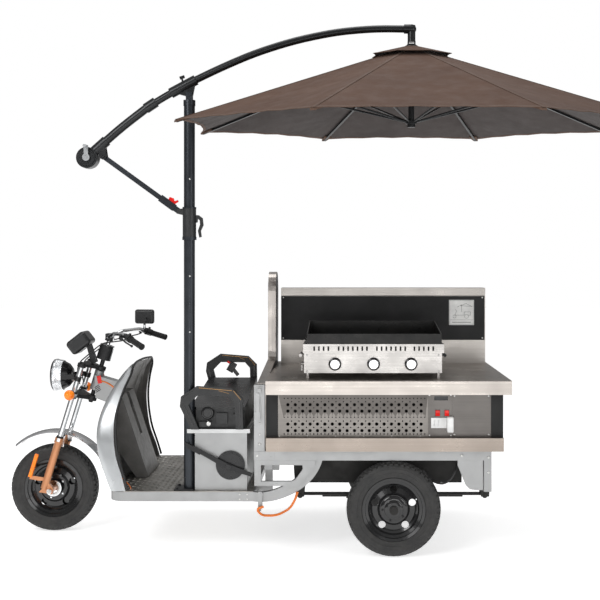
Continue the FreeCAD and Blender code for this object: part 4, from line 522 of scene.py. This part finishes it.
def make_tyre(name, node, body, x, y):
    c = P(x, y, 250.0)
    half = [(155, 36), (167, 38.0), (171, 41.5), (175, 41.8), (178, 41.2), (186, 43.8), (192, 45.2), (193, 46.4), (196, 46.6), (197, 45.8), (208, 46.8),
            (212, 47.0), (213, 47.5), (216, 47.5), (217, 46.6), (224, 45.4), (231, 42.4), (237, 37.0), (240.5, 29), (242, 18), (242.6, 8), (242.8, 0)]
    prof = [(-b / 1000, a / 1000) for a, b in half] + [(b / 1000, a / 1000) for a, b in reversed(half[:-1])]
    prof += [(0.030, 0.157), (-0.030, 0.157)]
    o = lathe(name, prof, c, (0, 1, 0), tyrem, body, 112, True, None, 28)
    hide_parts(node)
    # blocks
    s = Soup()
    prof_r = [(r, b) for r, b in half if b < 45 or r > 215]

    def surf(w):
        """carcass radius at signed width w, in mm"""
        a = abs(w)
        pts = [(0, 242.8), (8, 242.6), (18, 242), (29, 240.5), (37, 237), (42.4, 231), (45.4, 224)]
        for (u0, r0), (u1, r1) in zip(pts, pts[1:]):
            if a <= u1:
                return r0 + (r1 - r0) * (a - u0) / (u1 - u0)
        return 224.0
    cnt = 50
    step = 2 * math.pi / cnt
    rows = [(2.0, 12.0, 0.0, 0.36, 6.8), (14.5, 25.5, 0.5, 0.37, 7.2), (28.5, 39.5, 0.12, 0.33, 6.4), (40.5, 45.2, 0.12, 0.30, 3.4)]
    for i in range(cnt):
        for w0, w1, ph, hw, h in rows:
            for sg in (-1, 1):
                a = (i + ph + (0.5 if sg > 0 else 0.0)) * step
                lo, hi = [], []
                sk = 0.10 * step * sg
                for (w, da) in ((w0, -1), (w1, -1), (w1, 1), (w0, 1)):
                    t = a + da * hw * step + (sk if w == w1 else -sk)
                    rr = surf(w) - 1.5
                    mid = (w0 + w1) / 2
                    wi = w + (mid - w) * 0.16
                    ti = a + da * (hw - 0.05) * step + (sk if w == w1 else -sk)
                    rt = min(surf(w) + h, 250.0 - (0.06 * abs(w) if w < 26 else 0.35 * (w - 26) + 1.5))
                    if w0 > 40:
                        rt = surf(w) + h * 0.5
                    for L, ang, rad, ww in ((lo, t, rr, w), (hi, ti, rt, wi)):
                        yy = ww * sg + (1.6 * sg if (w0 > 40 and L is hi) else 0)
                        L.append(c + Vector((math.cos(ang) * rad, yy, math.sin(ang) * rad)) / 1000.0 - Vector((0, 0, 0)))
                s.add(lo + hi, [(0, 1, 5, 4), (1, 2, 6, 5), (2, 3, 7, 6), (3, 0, 4, 7), (4, 5, 6, 7), (3, 2, 1, 0)])
    b = s.done(name + "_blocks", tyrem, body)
    return o


make_tyre("tyre_front", "front_tyre", "front_wheel", -1683, 0)
make_tyre("tyre_rear_left", "rear_tyre_left", "rear_wheel_left", 257, -550)
make_tyre("tyre_rear_right", "rear_tyre_right", "rear_wheel_right", 257, 550)

# ---------------------------------------------------------------- hub details
s = Soup()
for sg, y in ((-1, -550), (1, 550)):
    s = Soup()
    c = P(257, y, 250)
    o_ = Vector((0, sg, 0))
    s.disc(c + o_ * 0.0195, o_, [(0, 0.072), (0.010, 0.070), (0.014, 0.064), (0.015, 0.050), (0.021, 0.048), (0.025, 0.040), (0.026, 0.026)], 48, 0)
    for i in range(5):
        a = 2 * math.pi * (i + 0.5) / 5
        s.disc(c + Vector((math.cos(a) * 0.0600, sg * 0.031, math.sin(a) * 0.0600)), o_, [(0, 0.0065), (0.006, 0.0065), (0.0075, 0.0045)], 6, 1)
    s.disc(c + o_ * 0.045, o_, [(0, 0.016), (0.014, 0.0155), (0.017, 0.011)], 6, 1)
    s.disc(c + Vector((0.118, sg * 0.012, 0.055)), o_, [(0, 0.005), (0.022, 0.004), (0.023, 0.003)], 12, 2)
    s.done("hub_cap_" + ("left" if sg < 0 else "right"), [rimm, blackm, chrome], "rear_wheel_" + ("left" if sg < 0 else "right"), True)
s = Soup()
c = P(-1683, 0, 250)
for sg in (-1, 1):
    o_ = Vector((0, sg, 0))
    for i in range(5):
        a = 2 * math.pi * (i + 0.5) / 5
        s.disc(c + Vector((math.cos(a) * 0.0600, sg * 0.022, math.sin(a) * 0.0600)), o_, [(0, 0.0065), (0.005, 0.0065), (0.0065, 0.0045)], 6, 1)
    s.disc(c + Vector((0.118, sg * 0.012, 0.055)), o_, [(0, 0.005), (0.022, 0.004), (0.023, 0.003)], 12, 1)
s.done("front_wheel_nuts", [blackm, chrome], "front_wheel", True)
lathe("front_wheel_inner_disc", [(-0.001, 0.034), (0.001, 0.034), (0.0015, 0.080), (0.0015, 0.126), (-0.0015, 0.126), (-0.0015, 0.080)], P(-1683, 16, 250), (0, 1, 0), rimm, "front_wheel", 72)

# ---------------------------------------------------------------- leg shield: smooth silver moulding and the black band under its edge
ST = [(336.0, -1168, -1248, -1256, 531), (415.0, -1190, -1280, -1300, 524), (520.0, -1225, -1318, -1345, 512),
      (636.0, -1240, -1333, -1362, 494), (740.0, -1238, -1318, -1352, 458), (850.0, -1214, -1274, -1308, 392),
      (925.0, -1186, -1232, -1262, 330), (968.0, -1168, -1196, -1222, 292)]


def plan(st, off, back):
    z, xe, xs, xc, w = st
    w = w - off
    xs = xs + off
    xc = xc + off
    return [(back, -w, z), (xe - 30, -w, z), (xs + 12, -w + 6, z), (xs - 4, -w + 34, z), (xc + 14, -w * 0.66, z), (xc, -w * 0.3, z),
            (xc, w * 0.3, z), (xc + 14, w * 0.66, z), (xs - 4, w - 34, z), (xs + 12, w - 6, z), (xe - 30, w, z), (back, w, z)]


def shield_grid(off, back_add):
    rows = [plan(st, off, st[1] + back_add) for st in ST]
    cols = [catmull([r[k] for r in rows], 5) for k in range(12)]
    return [catmull([col[j] for col in cols], 5) for j in range(len(cols[0]))]


def grid_shell(name, outer, inner, mat, body):
    vs, fs = [], []
    nr, nc = len(outer), len(outer[0])
    for g in (outer, inner):
        for r in g:
            vs += [P(*p) for p in r]

    def vid(l, i, j):
        return l * nr * nc + i * nc + j
    for i in range(nr - 1):
        for j in range(nc - 1):
            fs.append((vid(0, i, j), vid(0, i, j + 1), vid(0, i + 1, j + 1), vid(0, i + 1, j)))
            fs.append((vid(1, i, j), vid(1, i + 1, j), vid(1, i + 1, j + 1), vid(1, i, j + 1)))
    for i in range(nr - 1):
        for j in (0, nc - 1):
            fs.append((vid(0, i, j), vid(0, i + 1, j), vid(1, i + 1, j), vid(1, i, j)))
    for j in range(nc - 1):
        for i in (0, nr - 1):
            fs.append((vid(0, i, j), vid(1, i, j), vid(1, i, j + 1), vid(0, i, j + 1)))
    return obj_from(name, vs, fs, mat, body, True, 50)


g0 = shield_grid(0.0, 0.0)
g1 = shield_grid(4.0, 0.0)
o = grid_shell("leg_shield_moulding", g0, g1, shieldm, "chassis")
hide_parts("leg_shield")

# two pressed flutes across the front of the shield
for k, zz in enumerate((470.0, 560.0)):
    j = [i for i, r in enumerate(g0) if r[0][2] <= zz][-1]
    pts = [P(p[0] - 1.0, p[1], p[2]) for p in g0[j][12:-12]]
    tube("shield_flute_%d" % k, pts[::4] + [pts[-1]], 0.0035, shieldm, "chassis")
# orange wire at the foot of the shield
tube("shield_wire", [P(-1214, -506, 428), P(-1206, -500, 410), P(-1186, -494, 392), P(-1166, -490, 372), P(-1150, -488, 352), P(-1146, -487, 338)], 0.0022, orange, "chassis")

# ---------------------------------------------------------------- canopy
HX, MY, HZ = 358.0, -460.0, 2712.0
CR, CD, SAG = 1296.0, 424.0, 52.0
TILT = Matrix.Translation(P(HX, MY, HZ + 10)) @ Matrix.Rotation(math.radians(3.3), 4, "X") @ Matrix.Translation(-P(HX, MY, HZ + 10))

cloth = Mat("canopy_cloth_outside", (0.082, 0.043, 0.028), 0.0, 0.85)


def weave(m, c0, c1, s=1500.0):
    f = m.noise(3.0, 5.0)
    m.color(m.ramp(f, [(0.3, c0), (0.7, c1)]))
    m.rough(m.maprange(m.noise(14.0, 4.0), 0.70, 0.90, 0.3, 0.7))
    w = m.math("ADD", m.wave(s, None, "X"), m.wave(s, None, "Y"))
    m.bump(w, 0.25, 0.0003)
    m.bump(m.noise(6.0, 4.0, m.coord((1, 1, 0.4))), 0.28, 0.01)
    m.b.inputs["Sheen Weight"].default_value = 0.04
    m.b.inputs["Specular IOR Level"].default_value = 0.18
    m.b.inputs["Sheen Roughness"].default_value = 0.4


weave(cloth, (0.072, 0.037, 0.024), (0.092, 0.049, 0.032))
# the inside of the cloth is coloured darker than the outside: painted shade under the canopy
cloth_inside_painted_shade = Mat("canopy_cloth_inside_painted_shade", (0.05, 0.042, 0.040), 0.0, 0.85)
weave(cloth_inside_painted_shade, (0.042, 0.034, 0.032), (0.060, 0.050, 0.047))
hemm = Mat("canopy_hem_tape", (0.085, 0.052, 0.038), 0.0, 0.8)
weave(hemm, (0.085, 0.052, 0.038), (0.105, 0.065, 0.048), 2400.0)


def canopy_sheet(name, R1, z1, R0, z0, sag_edge, sag_mid, nu, nv, thick, mats):
    """one continuous eight-gore cloth: straight over its ribs, slack between them, edges curved in"""
    ring_n = 8 * nv

    def pt(u, k, v):
        r = R0 + (R1 - R0) * u
        z = z0 + (z1 - z0) * u
        a0, a1 = math.radians(22.5 + 45 * k), math.radians(22.5 + 45 * (k + 1))
        ax, ay = r * math.cos(a0), r * math.sin(a0)
        bx_, by_ = r * math.cos(a1), r * math.sin(a1)
        x, y = ax + (bx_ - ax) * v, ay + (by_ - ay) * v
        w = 4 * v * (1 - v)
        m = (a0 + a1) / 2
        pull = sag_edge * w * u ** 6
        x -= math.cos(m) * pull
        y -= math.sin(m) * pull
        z -= sag_mid * w * math.sin(math.pi * min(1.0, u * 0.86)) * u ** 0.6
        z += abs(z1 - z0) / R1 * pull * 0.9
        # small tension folds running out from each rib tip
        z += 2.2 * math.sin(v * 2 * math.pi * 5) * w * u ** 8
        return (HX + x, MY + y, HZ + z)
    top = []
    for i in range(nu + 1):
        u = i / nu
        row = []
        for k in range(8):
            for j in range(nv):
                row.append(pt(u, k, j / nv))
        top.append(row)
    vs = [TILT @ P(*p) for r in top for p in r]
    lo = [TILT @ P(p[0], p[1], p[2] - thick) for r in top for p in r]
    n0 = len(vs)
    fs, mi = [], []
    for i in range(nu):
        for j in range(ring_n):
            l = (j + 1) % ring_n
            fs.append((i * ring_n + j, (i + 1) * ring_n + j, (i + 1) * ring_n + l, i * ring_n + l))
            mi.append(0)
            fs.append((n0 + i * ring_n + j, n0 + i * ring_n + l, n0 + (i + 1) * ring_n + l, n0 + (i + 1) * ring_n + j))
            mi.append(1)
    for i in (0, nu):
        for j in range(ring_n):
            l = (j + 1) % ring_n
            fs.append((i * ring_n + j, i * ring_n + l, n0 + i * ring_n + l, n0 + i * ring_n + j))
            mi.append(0)
    o = obj_from(name, vs + lo, fs, mats, "canopy", True, 60)
    o.data.polygons.foreach_set("material_index", mi)
    return o, top, ring_n


can, rows, rn = canopy_sheet("canopy_cover", CR, -CD, 40, -9, SAG, 16.0, 26, 20, 1.4, [cloth, cloth_inside_painted_shade])
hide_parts("canopy_cloth")
cap, crow, cn = canopy_sheet("canopy_vent_cap", 226, -44, 37, 3, 14.0, 3.0, 8, 10, 1.2, [cloth, cloth_inside_painted_shade])

# stitched hem round the edge, seams over the ribs, pockets at the rib tips
hem = Soup()
edge = rows[-1]
inner = rows[-2]
cnt = len(edge)


def lerp(a, b, t):
    return tuple(x + (y - x) * t for x, y in zip(a, b))


def band(s, pts_out, pts_in, up, dn, closed=True):
    n = len(pts_out)
    b = []
    for p, q in zip(pts_out, pts_in):
        b += [TILT @ P(p[0], p[1], p[2] + up), TILT @ P(q[0], q[1], q[2] + up), TILT @ P(q[0], q[1], q[2] - dn), TILT @ P(p[0], p[1], p[2] - dn)]
    f = []
    for j in range(n if closed else n - 1):
        l = (j + 1) % n
        for a in range(4):
            c_ = (a + 1) % 4
            f.append((4 * j + a, 4 * j + c_, 4 * l + c_, 4 * l + a))
    if not closed:
        f += [(0, 1, 2, 3), (4 * n - 1, 4 * n - 2, 4 * n - 3, 4 * n - 4)]
    s.add(b, f)


band(hem, [lerp(a, b, -0.03) for a, b in zip(edge, inner)], [lerp(a, b, 0.42) for a, b in zip(edge, inner)], 0.9, 2.4)
for k in range(8):
    j = k * 20
    line = [rows[i][j] for i in range(1, 27)]
    a = math.radians(22.5 + 45 * k)
    dx, dy = -math.sin(a) * 9.0, math.cos(a) * 9.0
    band(hem, [(p[0] + dx, p[1] + dy, p[2]) for p in line], [(p[0] - dx, p[1] - dy, p[2]) for p in line], 1.0, 1.8, False)
    # pocket: folded tongue over the rib end
    p = edge[j]
    q = rows[-3][j]
    tip = lerp(p, q, -0.02)
    back = lerp(p, q, 0.72)
    w = 26.0
    nx, ny = -math.sin(a), math.cos(a)
    band(hem, [(tip[0] + nx * w * .5, tip[1] + ny * w * .5, tip[2] - 3), (back[0] + nx * w, back[1] + ny * w, back[2] - 7)],
         [(tip[0] - nx * w * .5, tip[1] - ny * w * .5, tip[2] - 3), (back[0] - nx * w, back[1] - ny * w, back[2] - 7)], -1.5, 11.0, False)
hemo = hem.done("canopy_hem_and_seams", hemm, "canopy")
h2 = Soup()
band(h2, [lerp(a, b, -0.04) for a, b in zip(crow[-1], crow[-2])], [lerp(a, b, 0.5) for a, b in zip(crow[-1], crow[-2])], 0.9, 2.2)
capo = h2.done("vent_cap_hem", hemm, "canopy")
# finial cup over the cap and rib tip ferrules
s = Soup()
s.disc(TILT @ P(HX, MY, HZ - 2), (0, 0, 1), [(0, 0.036), (0.006, 0.036), (0.010, 0.030), (0.013, 0.020)], 32)
for k in range(8):
    p = edge[k * 20]
    q = rows[-3][k * 20]
    d_ = (TILT @ P(*p)) - (TILT @ P(*q))
    s.disc(TILT @ P(p[0], p[1], p[2] - 8) - d_.normalized() * 0.03, d_, [(0, 0.0075), (0.022, 0.0075), (0.028, 0.004)], 12)
s.done("canopy_finial_and_ferrules", [blackp], "canopy", True)

# ---------------------------------------------------------------- tread plate bars
s = Soup()
px, py = 32.0, 32.0
for i in range(25):
    for j in range(34):
        x, y = -1240 + i * px, -533 + j * py
        ang = math.radians(45 if (i + j) % 2 else -45)
        if x > -503 or abs(y) > 522:
            continue
        if x < -1186 and abs(y) > 440:
            continue
        R = Matrix.Rotation(ang, 3, "Z")
        c = P(x, y, 336.2)
        L, W = 0.0155, 0.0042
        b = [c + R @ Vector(v) for v in ((-L, 0, -0.0008), (-L * .45, -W, -0.0008), (L * .45, -W, -0.0008), (L, 0, -0.0008), (L * .45, W, -0.0008), (-L * .45, W, -0.0008))]
        t = [c + R @ Vector(v) for v in ((-L * .72, 0, 0.001), (-L * .4, -W * .45, 0.0014), (L * .4, -W * .45, 0.0014), (L * .72, 0, 0.001), (L * .4, W * .45, 0.0014), (-L * .4, W * .45, 0.0014))]
        s.add(b + t, [(a_, (a_ + 1) % 6, 6 + (a_ + 1) % 6, 6 + a_) for a_ in range(6)] + [(6, 7, 8, 9, 10, 11)])
tb = s.done("deck_tread_bars", tread, "chassis", True, 40)

# ---------------------------------------------------------------- headlamp glass and rim, instrument glass
glass = Mat("ribbed_lamp_glass", (0.80, 0.82, 0.84), 1.0, 0.10)
grunge(glass, (0.62, 0.64, 0.66), (0.86, 0.88, 0.90), 30.0, 0.05, 0.18)
glass.bump(glass.wave(70.0, None, "Z"), 0.5, 0.003)
glass.b.inputs["Coat Weight"].default_value = 1.0
glass.b.inputs["Coat Roughness"].default_value = 0.03
lathe("headlamp_glass", [(-0.0235, 0.0), (-0.0232, 0.03), (-0.0225, 0.06), (-0.021, 0.078), (-0.016, 0.0888), (-0.006, 0.0940), (0.004, 0.0945), (0.012, 0.0905), (0.028, 0.0885),
                         (0.040, 0.0872), (0.0402, 0.0850), (0.005, 0.0830), (-0.01, 0.06), (-0.012, 0.0)],
      P(-1672, 0, 898), (1, 0, 0), glass, "steering", 96, True, None, 60)
s = Soup()
Rcl = Matrix.Rotation(math.radians(-38), 3, "Y")
s.box(P(-1535, 0, 1087.5) + Rcl @ Vector((0, 0, 0.0428)), 0.048, 0.058, 0.0010, Rcl, 0.0006, 0)
s.box(P(-1535, 0, 1087.5) + Rcl @ Vector((0, 0, 0.0438)), 0.032, 0.044, 0.0005, Rcl, 0.0002, 1)
s.done("instrument_glass", [blackg, screen], "steering")

# ---------------------------------------------------------------- small parts: fasteners, label, stripes, lugs
screw = Mat("zinc_screw_heads", (0.62, 0.62, 0.60), 1.0, 0.3)
grunge(screw, (0.5, 0.5, 0.49), (0.7, 0.7, 0.68), 90.0, 0.22, 0.4)
screw.bump(screw.noise(900.0, 2.0), 0.2, 0.0003)
s = Soup()
YM = (0, -1, 0)
dome = [(0, 0.0050), (0.0012, 0.0048), (0.0024, 0.0036), (0.0028, 0.0018)]
big = [(0, 0.0072), (0.0016, 0.0070), (0.0034, 0.0052), (0.004, 0.0026)]
for x, z in ((583, 636), (765, 636), (583, 842), (765, 842), (450, 632), (450, 846), (564, 632), (564, 846)):
    s.disc(P(x, -523.2 - (1.2 if x > 575 else 0), z), YM, dome, 14)
for x in (-350, -200, -50, 100, 250, 400):
    for z in (627.5, 850.0):
        s.disc(P(x, -523.2, z), YM, [(0, 0.0026), (0.001, 0.0024), (0.0016, 0.0014)], 10)
for x, z in ((-452, 590), (-452, 640), (-452, 700), (-452, 880), (-466, 528), (760, 440), (760, 520), (620, 528)):
    s.disc(P(x, -550.2, z), YM, big if z < 600 else dome, 14)
for x, z in ((-560, 320), (-520, 320), (-560, 295), (-520, 295)):
    s.disc(P(x, -535.2, z), YM, dome, 12)
for x in (-205, 505):
    for z in (965, 1052):
        s.disc(P(x, -450.2, z), YM, dome, 14)
for x in (-396 + 14, 868 - 18):
    for z in (1085, 1335):
        s.disc(P(x, 399.8 + 1.2, z), YM, dome, 14)
for x in (-380, -60, 240, 540, 840):
    s.disc(P(x, 399.8, 1368), YM, [(0, 0.0030), (0.001, 0.0028), (0.0016, 0.0016)], 10)
for y in (-420, 0, 420):
    for z in (660, 860):
        s.disc(P(-469.2, y, z), (-1, 0, 0), dome, 14)
s.disc(P(-730, -497, 690), YM, [(0, 0.012), (0.004, 0.012), (0.006, 0.009)], 20)
s.done("fastener_heads", [screw], "chassis", True)
s = Soup()
for z in (850, 1180, 1480, 2000):
    s.disc(P(-831, -489.0, z), YM, dome, 14)
s.done("mast_screw_heads", [screw], "mast", True)

# white information plate with a plain line drawing and no lettering
plate = plastic("white_plate_print", (0.80, 0.80, 0.78), (0.3, 0.42), 0.05)
ink = plastic("dark_plate_ink", (0.02, 0.02, 0.02), (0.4, 0.5), 0.05)
s = Soup()
RY = Matrix.Rotation(math.radians(90), 3, "X")
Yf = 400.9


def flat(x0, x1, z0, z1, dep, mi):
    s.box(P((x0 + x1) / 2, Yf - dep, (z0 + z1) / 2), (x1 - x0) / 2000, (z1 - z0) / 2000, 0.0004, RY, 0.0001, mi)


flat(644, 798, 1165, 1320, 0.3, 0)
for b in ((648, 794, 1169, 1170.2), (648, 794, 1314.8, 1316), (648, 649.2, 1169, 1316), (792.8, 794, 1169, 1316), (648, 794, 1196, 1197.2)):
    flat(*b, 0.8, 1)


def stroke(pts, w=1.6):
    for (x0, z0), (x1, z1) in zip(pts, pts[1:]):
        L = math.hypot(x1 - x0, z1 - z0)
        R = Matrix.Rotation(-math.atan2(z1 - z0, x1 - x0), 3, "Y") @ RY
        s.box(P((x0 + x1) / 2, Yf - 0.8, (z0 + z1) / 2), L / 2000 + w / 4000, w / 2000, 0.0004, R, 0.0, 1)


def circ(x, z, r, n=14):
    stroke([(x + r * math.cos(2 * math.pi * i / n), z + r * math.sin(2 * math.pi * i / n)) for i in range(n + 1)], 1.4)


circ(678, 1218, 10)
circ(752, 1218, 12)
stroke([(678, 1218), (690, 1250), (684, 1262)])
stroke([(688, 1226), (738, 1226), (738, 1246), (776, 1246), (776, 1226), (762, 1226)])
stroke([(722, 1246), (722, 1290), (694, 1276)])
stroke([(716, 1284), (748, 1298), (786, 1280), (716, 1284)])
stroke([(664, 1182), (778, 1182)], 3.2)
s.done("plain_information_plate", [plate, ink], "chassis")

# gold-tan edge strips on the two carrying frames of the power station
s = Soup()


def strip(x0, z0, x1, z1, y, w, mi=0):
    L = math.hypot(x1 - x0, z1 - z0)
    R = Matrix.Rotation(-math.atan2(z1 - z0, x1 - x0), 3, "Y") @ RY
    s.box(P((x0 + x1) / 2, y, (z0 + z1) / 2), L / 2000, w / 2000, 0.0008, R, 0.0004, mi)


ZB = 644 + 19


def cage_pts(zt, x0, x1):
    return [(x0 + 30, ZB), (x0 - 30, zt - 92), (x0 - 24, zt - 40), (x0 + 58, zt + 14), (x1 - 62, zt), (x1 - 10, zt - 52), (x1 - 6, ZB)]


for zt, x0, x1, y in ((878, -850, -536, -524.8), (972, -830, -536, 391.4)):
    q = cage_pts(zt, x0, x1)
    strip(q[3][0] + 14, q[3][1] - 7, q[4][0] - 4, q[4][1] - 8, y, 3.0)
    strip(q[3][0] + 120, q[3][1] - 22, q[4][0] - 20, q[4][1] - 24, y, 2.2)
    strip(q[4][0] + 3, q[4][1] - 8, q[5][0] - 9, q[5][1] - 4, y, 3.0)
    strip(q[2][0] + 12, q[2][1] - 4, q[3][0] - 2, q[3][1] - 12, y, 2.2, 1)
    strip(q[0][0] + 12, q[0][1] + 20, q[1][0] + 16, q[1][1] + 16, y, 9.0, 1)
    strip(q[5][0] - 16, q[5][1] - 12, q[6][0] - 20, q[6][1] + 14, y, 9.0, 1)
s.done("power_station_edge_strips", [gold, blackg], "chassis")
s = Soup()
s.disc(P(-735, -492.0, 748), YM, [(0, 0.0335), (0.010, 0.0335), (0.014, 0.030), (0.015, 0.024), (0.012, 0.022), (0.012, 0.006)], 40, 0)
for i in range(16):
    a = 2 * math.pi * i / 16
    s.disc(P(-735 + 33.5 * math.cos(a), -484, 746 + 33.5 * math.sin(a)), (0, 1, 0), [(0, 0.0016), (0.012, 0.0016), (0.013, 0.001)], 8, 0)
s.done("power_socket_cap", [blackg], "chassis", True)
s = Soup()
Rt = Matrix.Rotation(math.radians(30), 3, "Y")
s.box(P(-700, 400, 905), 0.022, 0.014, 0.030, Rt, 0.004, 0)
s.box(P(-714, 400, 932), 0.016, 0.010, 0.006, Rt, 0.002, 1)
s.box(P(-676, 404, 872), 0.010, 0.010, 0.024, Matrix.Rotation(math.radians(-38), 3, "Y"), 0.003, 0)
s.done("far_plug_with_red_tip", [blackg, redm], "chassis")

# neck cover: orange arc and red reflector bars, both sides
for sg in (-1, 1):
    y = 44.8 * sg
    tube("neck_arc_%s" % ("left" if sg < 0 else "right"), [P(-1408, y, 868), P(-1382, y, 862), P(-1352, y, 846), P(-1326, y, 822), P(-1316, y, 800)], 0.0042, orange, "chassis")
s = Soup()
for sg in (-1, 1):
    s.box(P(-1418, 44.6 * sg, 876), 0.012, 0.022, 0.002, Matrix.Rotation(math.radians(-12), 3, "Y") @ Matrix.Rotation(math.radians(90), 3, "X"), 0.001, 0)
    for i in range(4):
        s.box(P(-1432 + i * 3.0, 44.6 * sg, 838 - i * 9), 0.015, 0.0022, 0.0012, Matrix.Rotation(math.radians(-32), 3, "Y") @ Matrix.Rotation(math.radians(90), 3, "X"), 0.0003, 1)
s.done("neck_reflector_bars", [redm, blackg], "chassis")

# dial marks round the knobs
s = Soup()
for x in (-54, 154, 356):
    for i in range(9):
        a = math.radians(-120 + 30 * i)
        s.box(P(x + 41 * math.sin(a), -450.4, 1005 + 41 * math.cos(a)), 0.0007, 0.0022, 0.0004, Matrix.Rotation(a, 3, "Y") @ RY, 0.0, 0)
s.done("burner_dial_marks", [ink], "chassis")
s = Soup()
for x, b in ((-54, "knob_left"), (154, "knob_centre"), (356, "knob_right")):
    s = Soup()
    s.box(P(x, -481.0, 1013), 0.0011, 0.0050, 0.0006, RY, 0.0002, 0)
    s.done(b + "_pointer", [ink], b)
# ribbed grips
for nm, a, b_, body in (("left", (-1240, -240, 1150), (-1110, -380, 1092), "steering"), ("right", (-1240, 240, 1150), (-1110, 380, 1092), "throttle")):
    A, B_ = P(*a), P(*b_)
    u = (B_ - A).normalized()
    prof = []
    for i in range(22):
        t = 0.008 + i * 0.0048
        prof += [(t, 0.0160), (t + 0.0004, 0.0170), (t + 0.0030, 0.0170), (t + 0.0034, 0.0160)]
    prof = [(p - 0.114, q) for p, q in prof]
    prof += [(0.0, 0.0155), (-0.110, 0.0155)]
    lathe("grip_ribs_" + nm, prof, B_, u, gripm, body, 32, True)
# dust seals and collar rings round the copper fork legs
lx = lambda z: -1720 + (z - 250) * 0.29237170 / 0.95630476
for sg in (-1, 1):
    nm = "left" if sg < 0 else "right"
    ax = AXv
    for zc, r, mt, tg in ((556, 0.0196, rubber, "dust_seal"), (528, 0.0246, copper, "collar_ring")):
        lathe("fork_%s_%s" % (tg, nm), [(-0.006, r - 0.004), (-0.006, r - 0.0008), (-0.004, r), (0.004, r), (0.006, r - 0.0008), (0.006, r - 0.004)], P(lx(zc), 115 * sg, zc), ax, mt, "fork", 40)
s = Soup()
for sg in (-1, 1):
    s.disc(P(-1683, sg * 139, 250), (0, sg, 0), [(0, 0.0135), (0.007, 0.0135), (0.009, 0.011)], 6, 0)
    s.disc(P(-1683, sg * 148, 250), (0, sg, 0), [(0, 0.006), (0.008, 0.006), (0.009, 0.004)], 16, 0)
s.done("front_axle_nuts", [screw], "fork")
# silver crescent on the front brake plate
lathe("brake_plate_ring", [(-0.001, 0.026), (0.003, 0.027), (0.004, 0.031), (0.004, 0.037), (0.003, 0.041), (-0.001, 0.042)], P(-1679, -62.5, 252), (0, -1, 0), screw, "fork", 48, True, (math.radians(-60), math.radians(190)))

# rolled edge along the worktop front and a bead along the top of the backsplash
tube("worktop_rolled_edge", [P(-419, -580.4, 926), P(-100, -580.8, 926), (P(300, -580.8, 926)), P(880, -580.4, 926)], 0.0016, steel, "chassis")
tube("backsplash_top_bead", [P(-395, 399.6, 1346.5), P(0, 399.4, 1346.5), P(400, 399.4, 1346.5), P(862, 399.6, 1346.5)], 0.0018, steel_back, "chassis")

# ---------------------------------------------------------------- floor, light
floor_m = Mat("pale_floor", (0.92, 0.92, 0.92), 0.0, 0.6)
floor_m.b.inputs["Emission Color"].default_value = (1, 1, 1, 1)
floor_m.b.inputs["Emission Strength"].default_value = 0.62
fl = obj_from("floor", [(-30, -30, -0.0005), (30, -30, -0.0005), (30, 30, -0.0005), (-30, 30, -0.0005)], [(0, 1, 2, 3)], floor_m, None, False)
world = bpy.data.worlds.new("studio")
scene.world = world
world.use_nodes = True
wt = world.node_tree
bg = wt.nodes["Background"]
bg.inputs["Color"].default_value = (1.0, 1.0, 1.0, 1.0)
bg.inputs["Strength"].default_value = 1.0
# the sky is white to the camera; everything else is lit by a softer dome, dark near the ground
dome_bg = wt.nodes.new("ShaderNodeBackground")
tc_ = wt.nodes.new("ShaderNodeTexCoord")
sep_ = wt.nodes.new("ShaderNodeSeparateXYZ")
rp_ = wt.nodes.new("ShaderNodeValToRGB")
mr_ = wt.nodes.new("ShaderNodeMapRange")
wt.links.new(tc_.outputs["Generated"], sep_.inputs[0])
mr_.inputs["From Min"].default_value = -1.0
mr_.inputs["From Max"].default_value = 1.0
wt.links.new(sep_.outputs["Z"], mr_.inputs["Value"])
wt.links.new(mr_.outputs["Result"], rp_.inputs["Fac"])
e_ = rp_.color_ramp.elements
e_[0].position, e_[0].color = 0.44, (0.20, 0.20, 0.20, 1)
e_[1].position, e_[1].color = 1.0, (0.95, 0.95, 0.95, 1)
m1_ = e_.new(0.54)
m1_.color = (0.34, 0.34, 0.34, 1)
wt.links.new(rp_.outputs["Color"], dome_bg.inputs["Color"])
dome_bg.inputs["Strength"].default_value = 0.62
lp_ = wt.nodes.new("ShaderNodeLightPath")
mx_ = wt.nodes.new("ShaderNodeMixShader")
wt.links.new(lp_.outputs["Is Camera Ray"], mx_.inputs[0])
wt.links.new(dome_bg.outputs[0], mx_.inputs[1])
wt.links.new(bg.outputs[0], mx_.inputs[2])
wt.links.new(mx_.outputs[0], wt.nodes["World Output"].inputs["Surface"])


def area(name, loc, target, size, energy, color=(1, 1, 1), sy=None):
    l = bpy.data.lights.new(name, "AREA")
    l.shape = "RECTANGLE"
    l.size = size
    l.size_y = sy or size
    l.energy = energy
    l.color = color
    o = bpy.data.objects.new(name, l)
    scene.collection.objects.link(o)
    o.location = loc
    d_ = Vector(target) - Vector(loc)
    o.rotation_euler = d_.to_track_quat("-Z", "Y").to_euler()
    return o


area("key", (-3.2, -4.2, 4.4), (0.0, 0.2, 0.8), 2.6, 150)
area("fill", (4.6, -4.0, 2.2), (0.3, 0.2, 0.8), 3.0, 60)
area("top", (0.3, 0.6, 6.0), (0.2, 0.4, 0.5), 4.0, 130)
area("front_low", (0.2, -5.2, 0.7), (0.2, 0.4, 0.8), 3.0, 22, (1, 1, 1), 1.0)
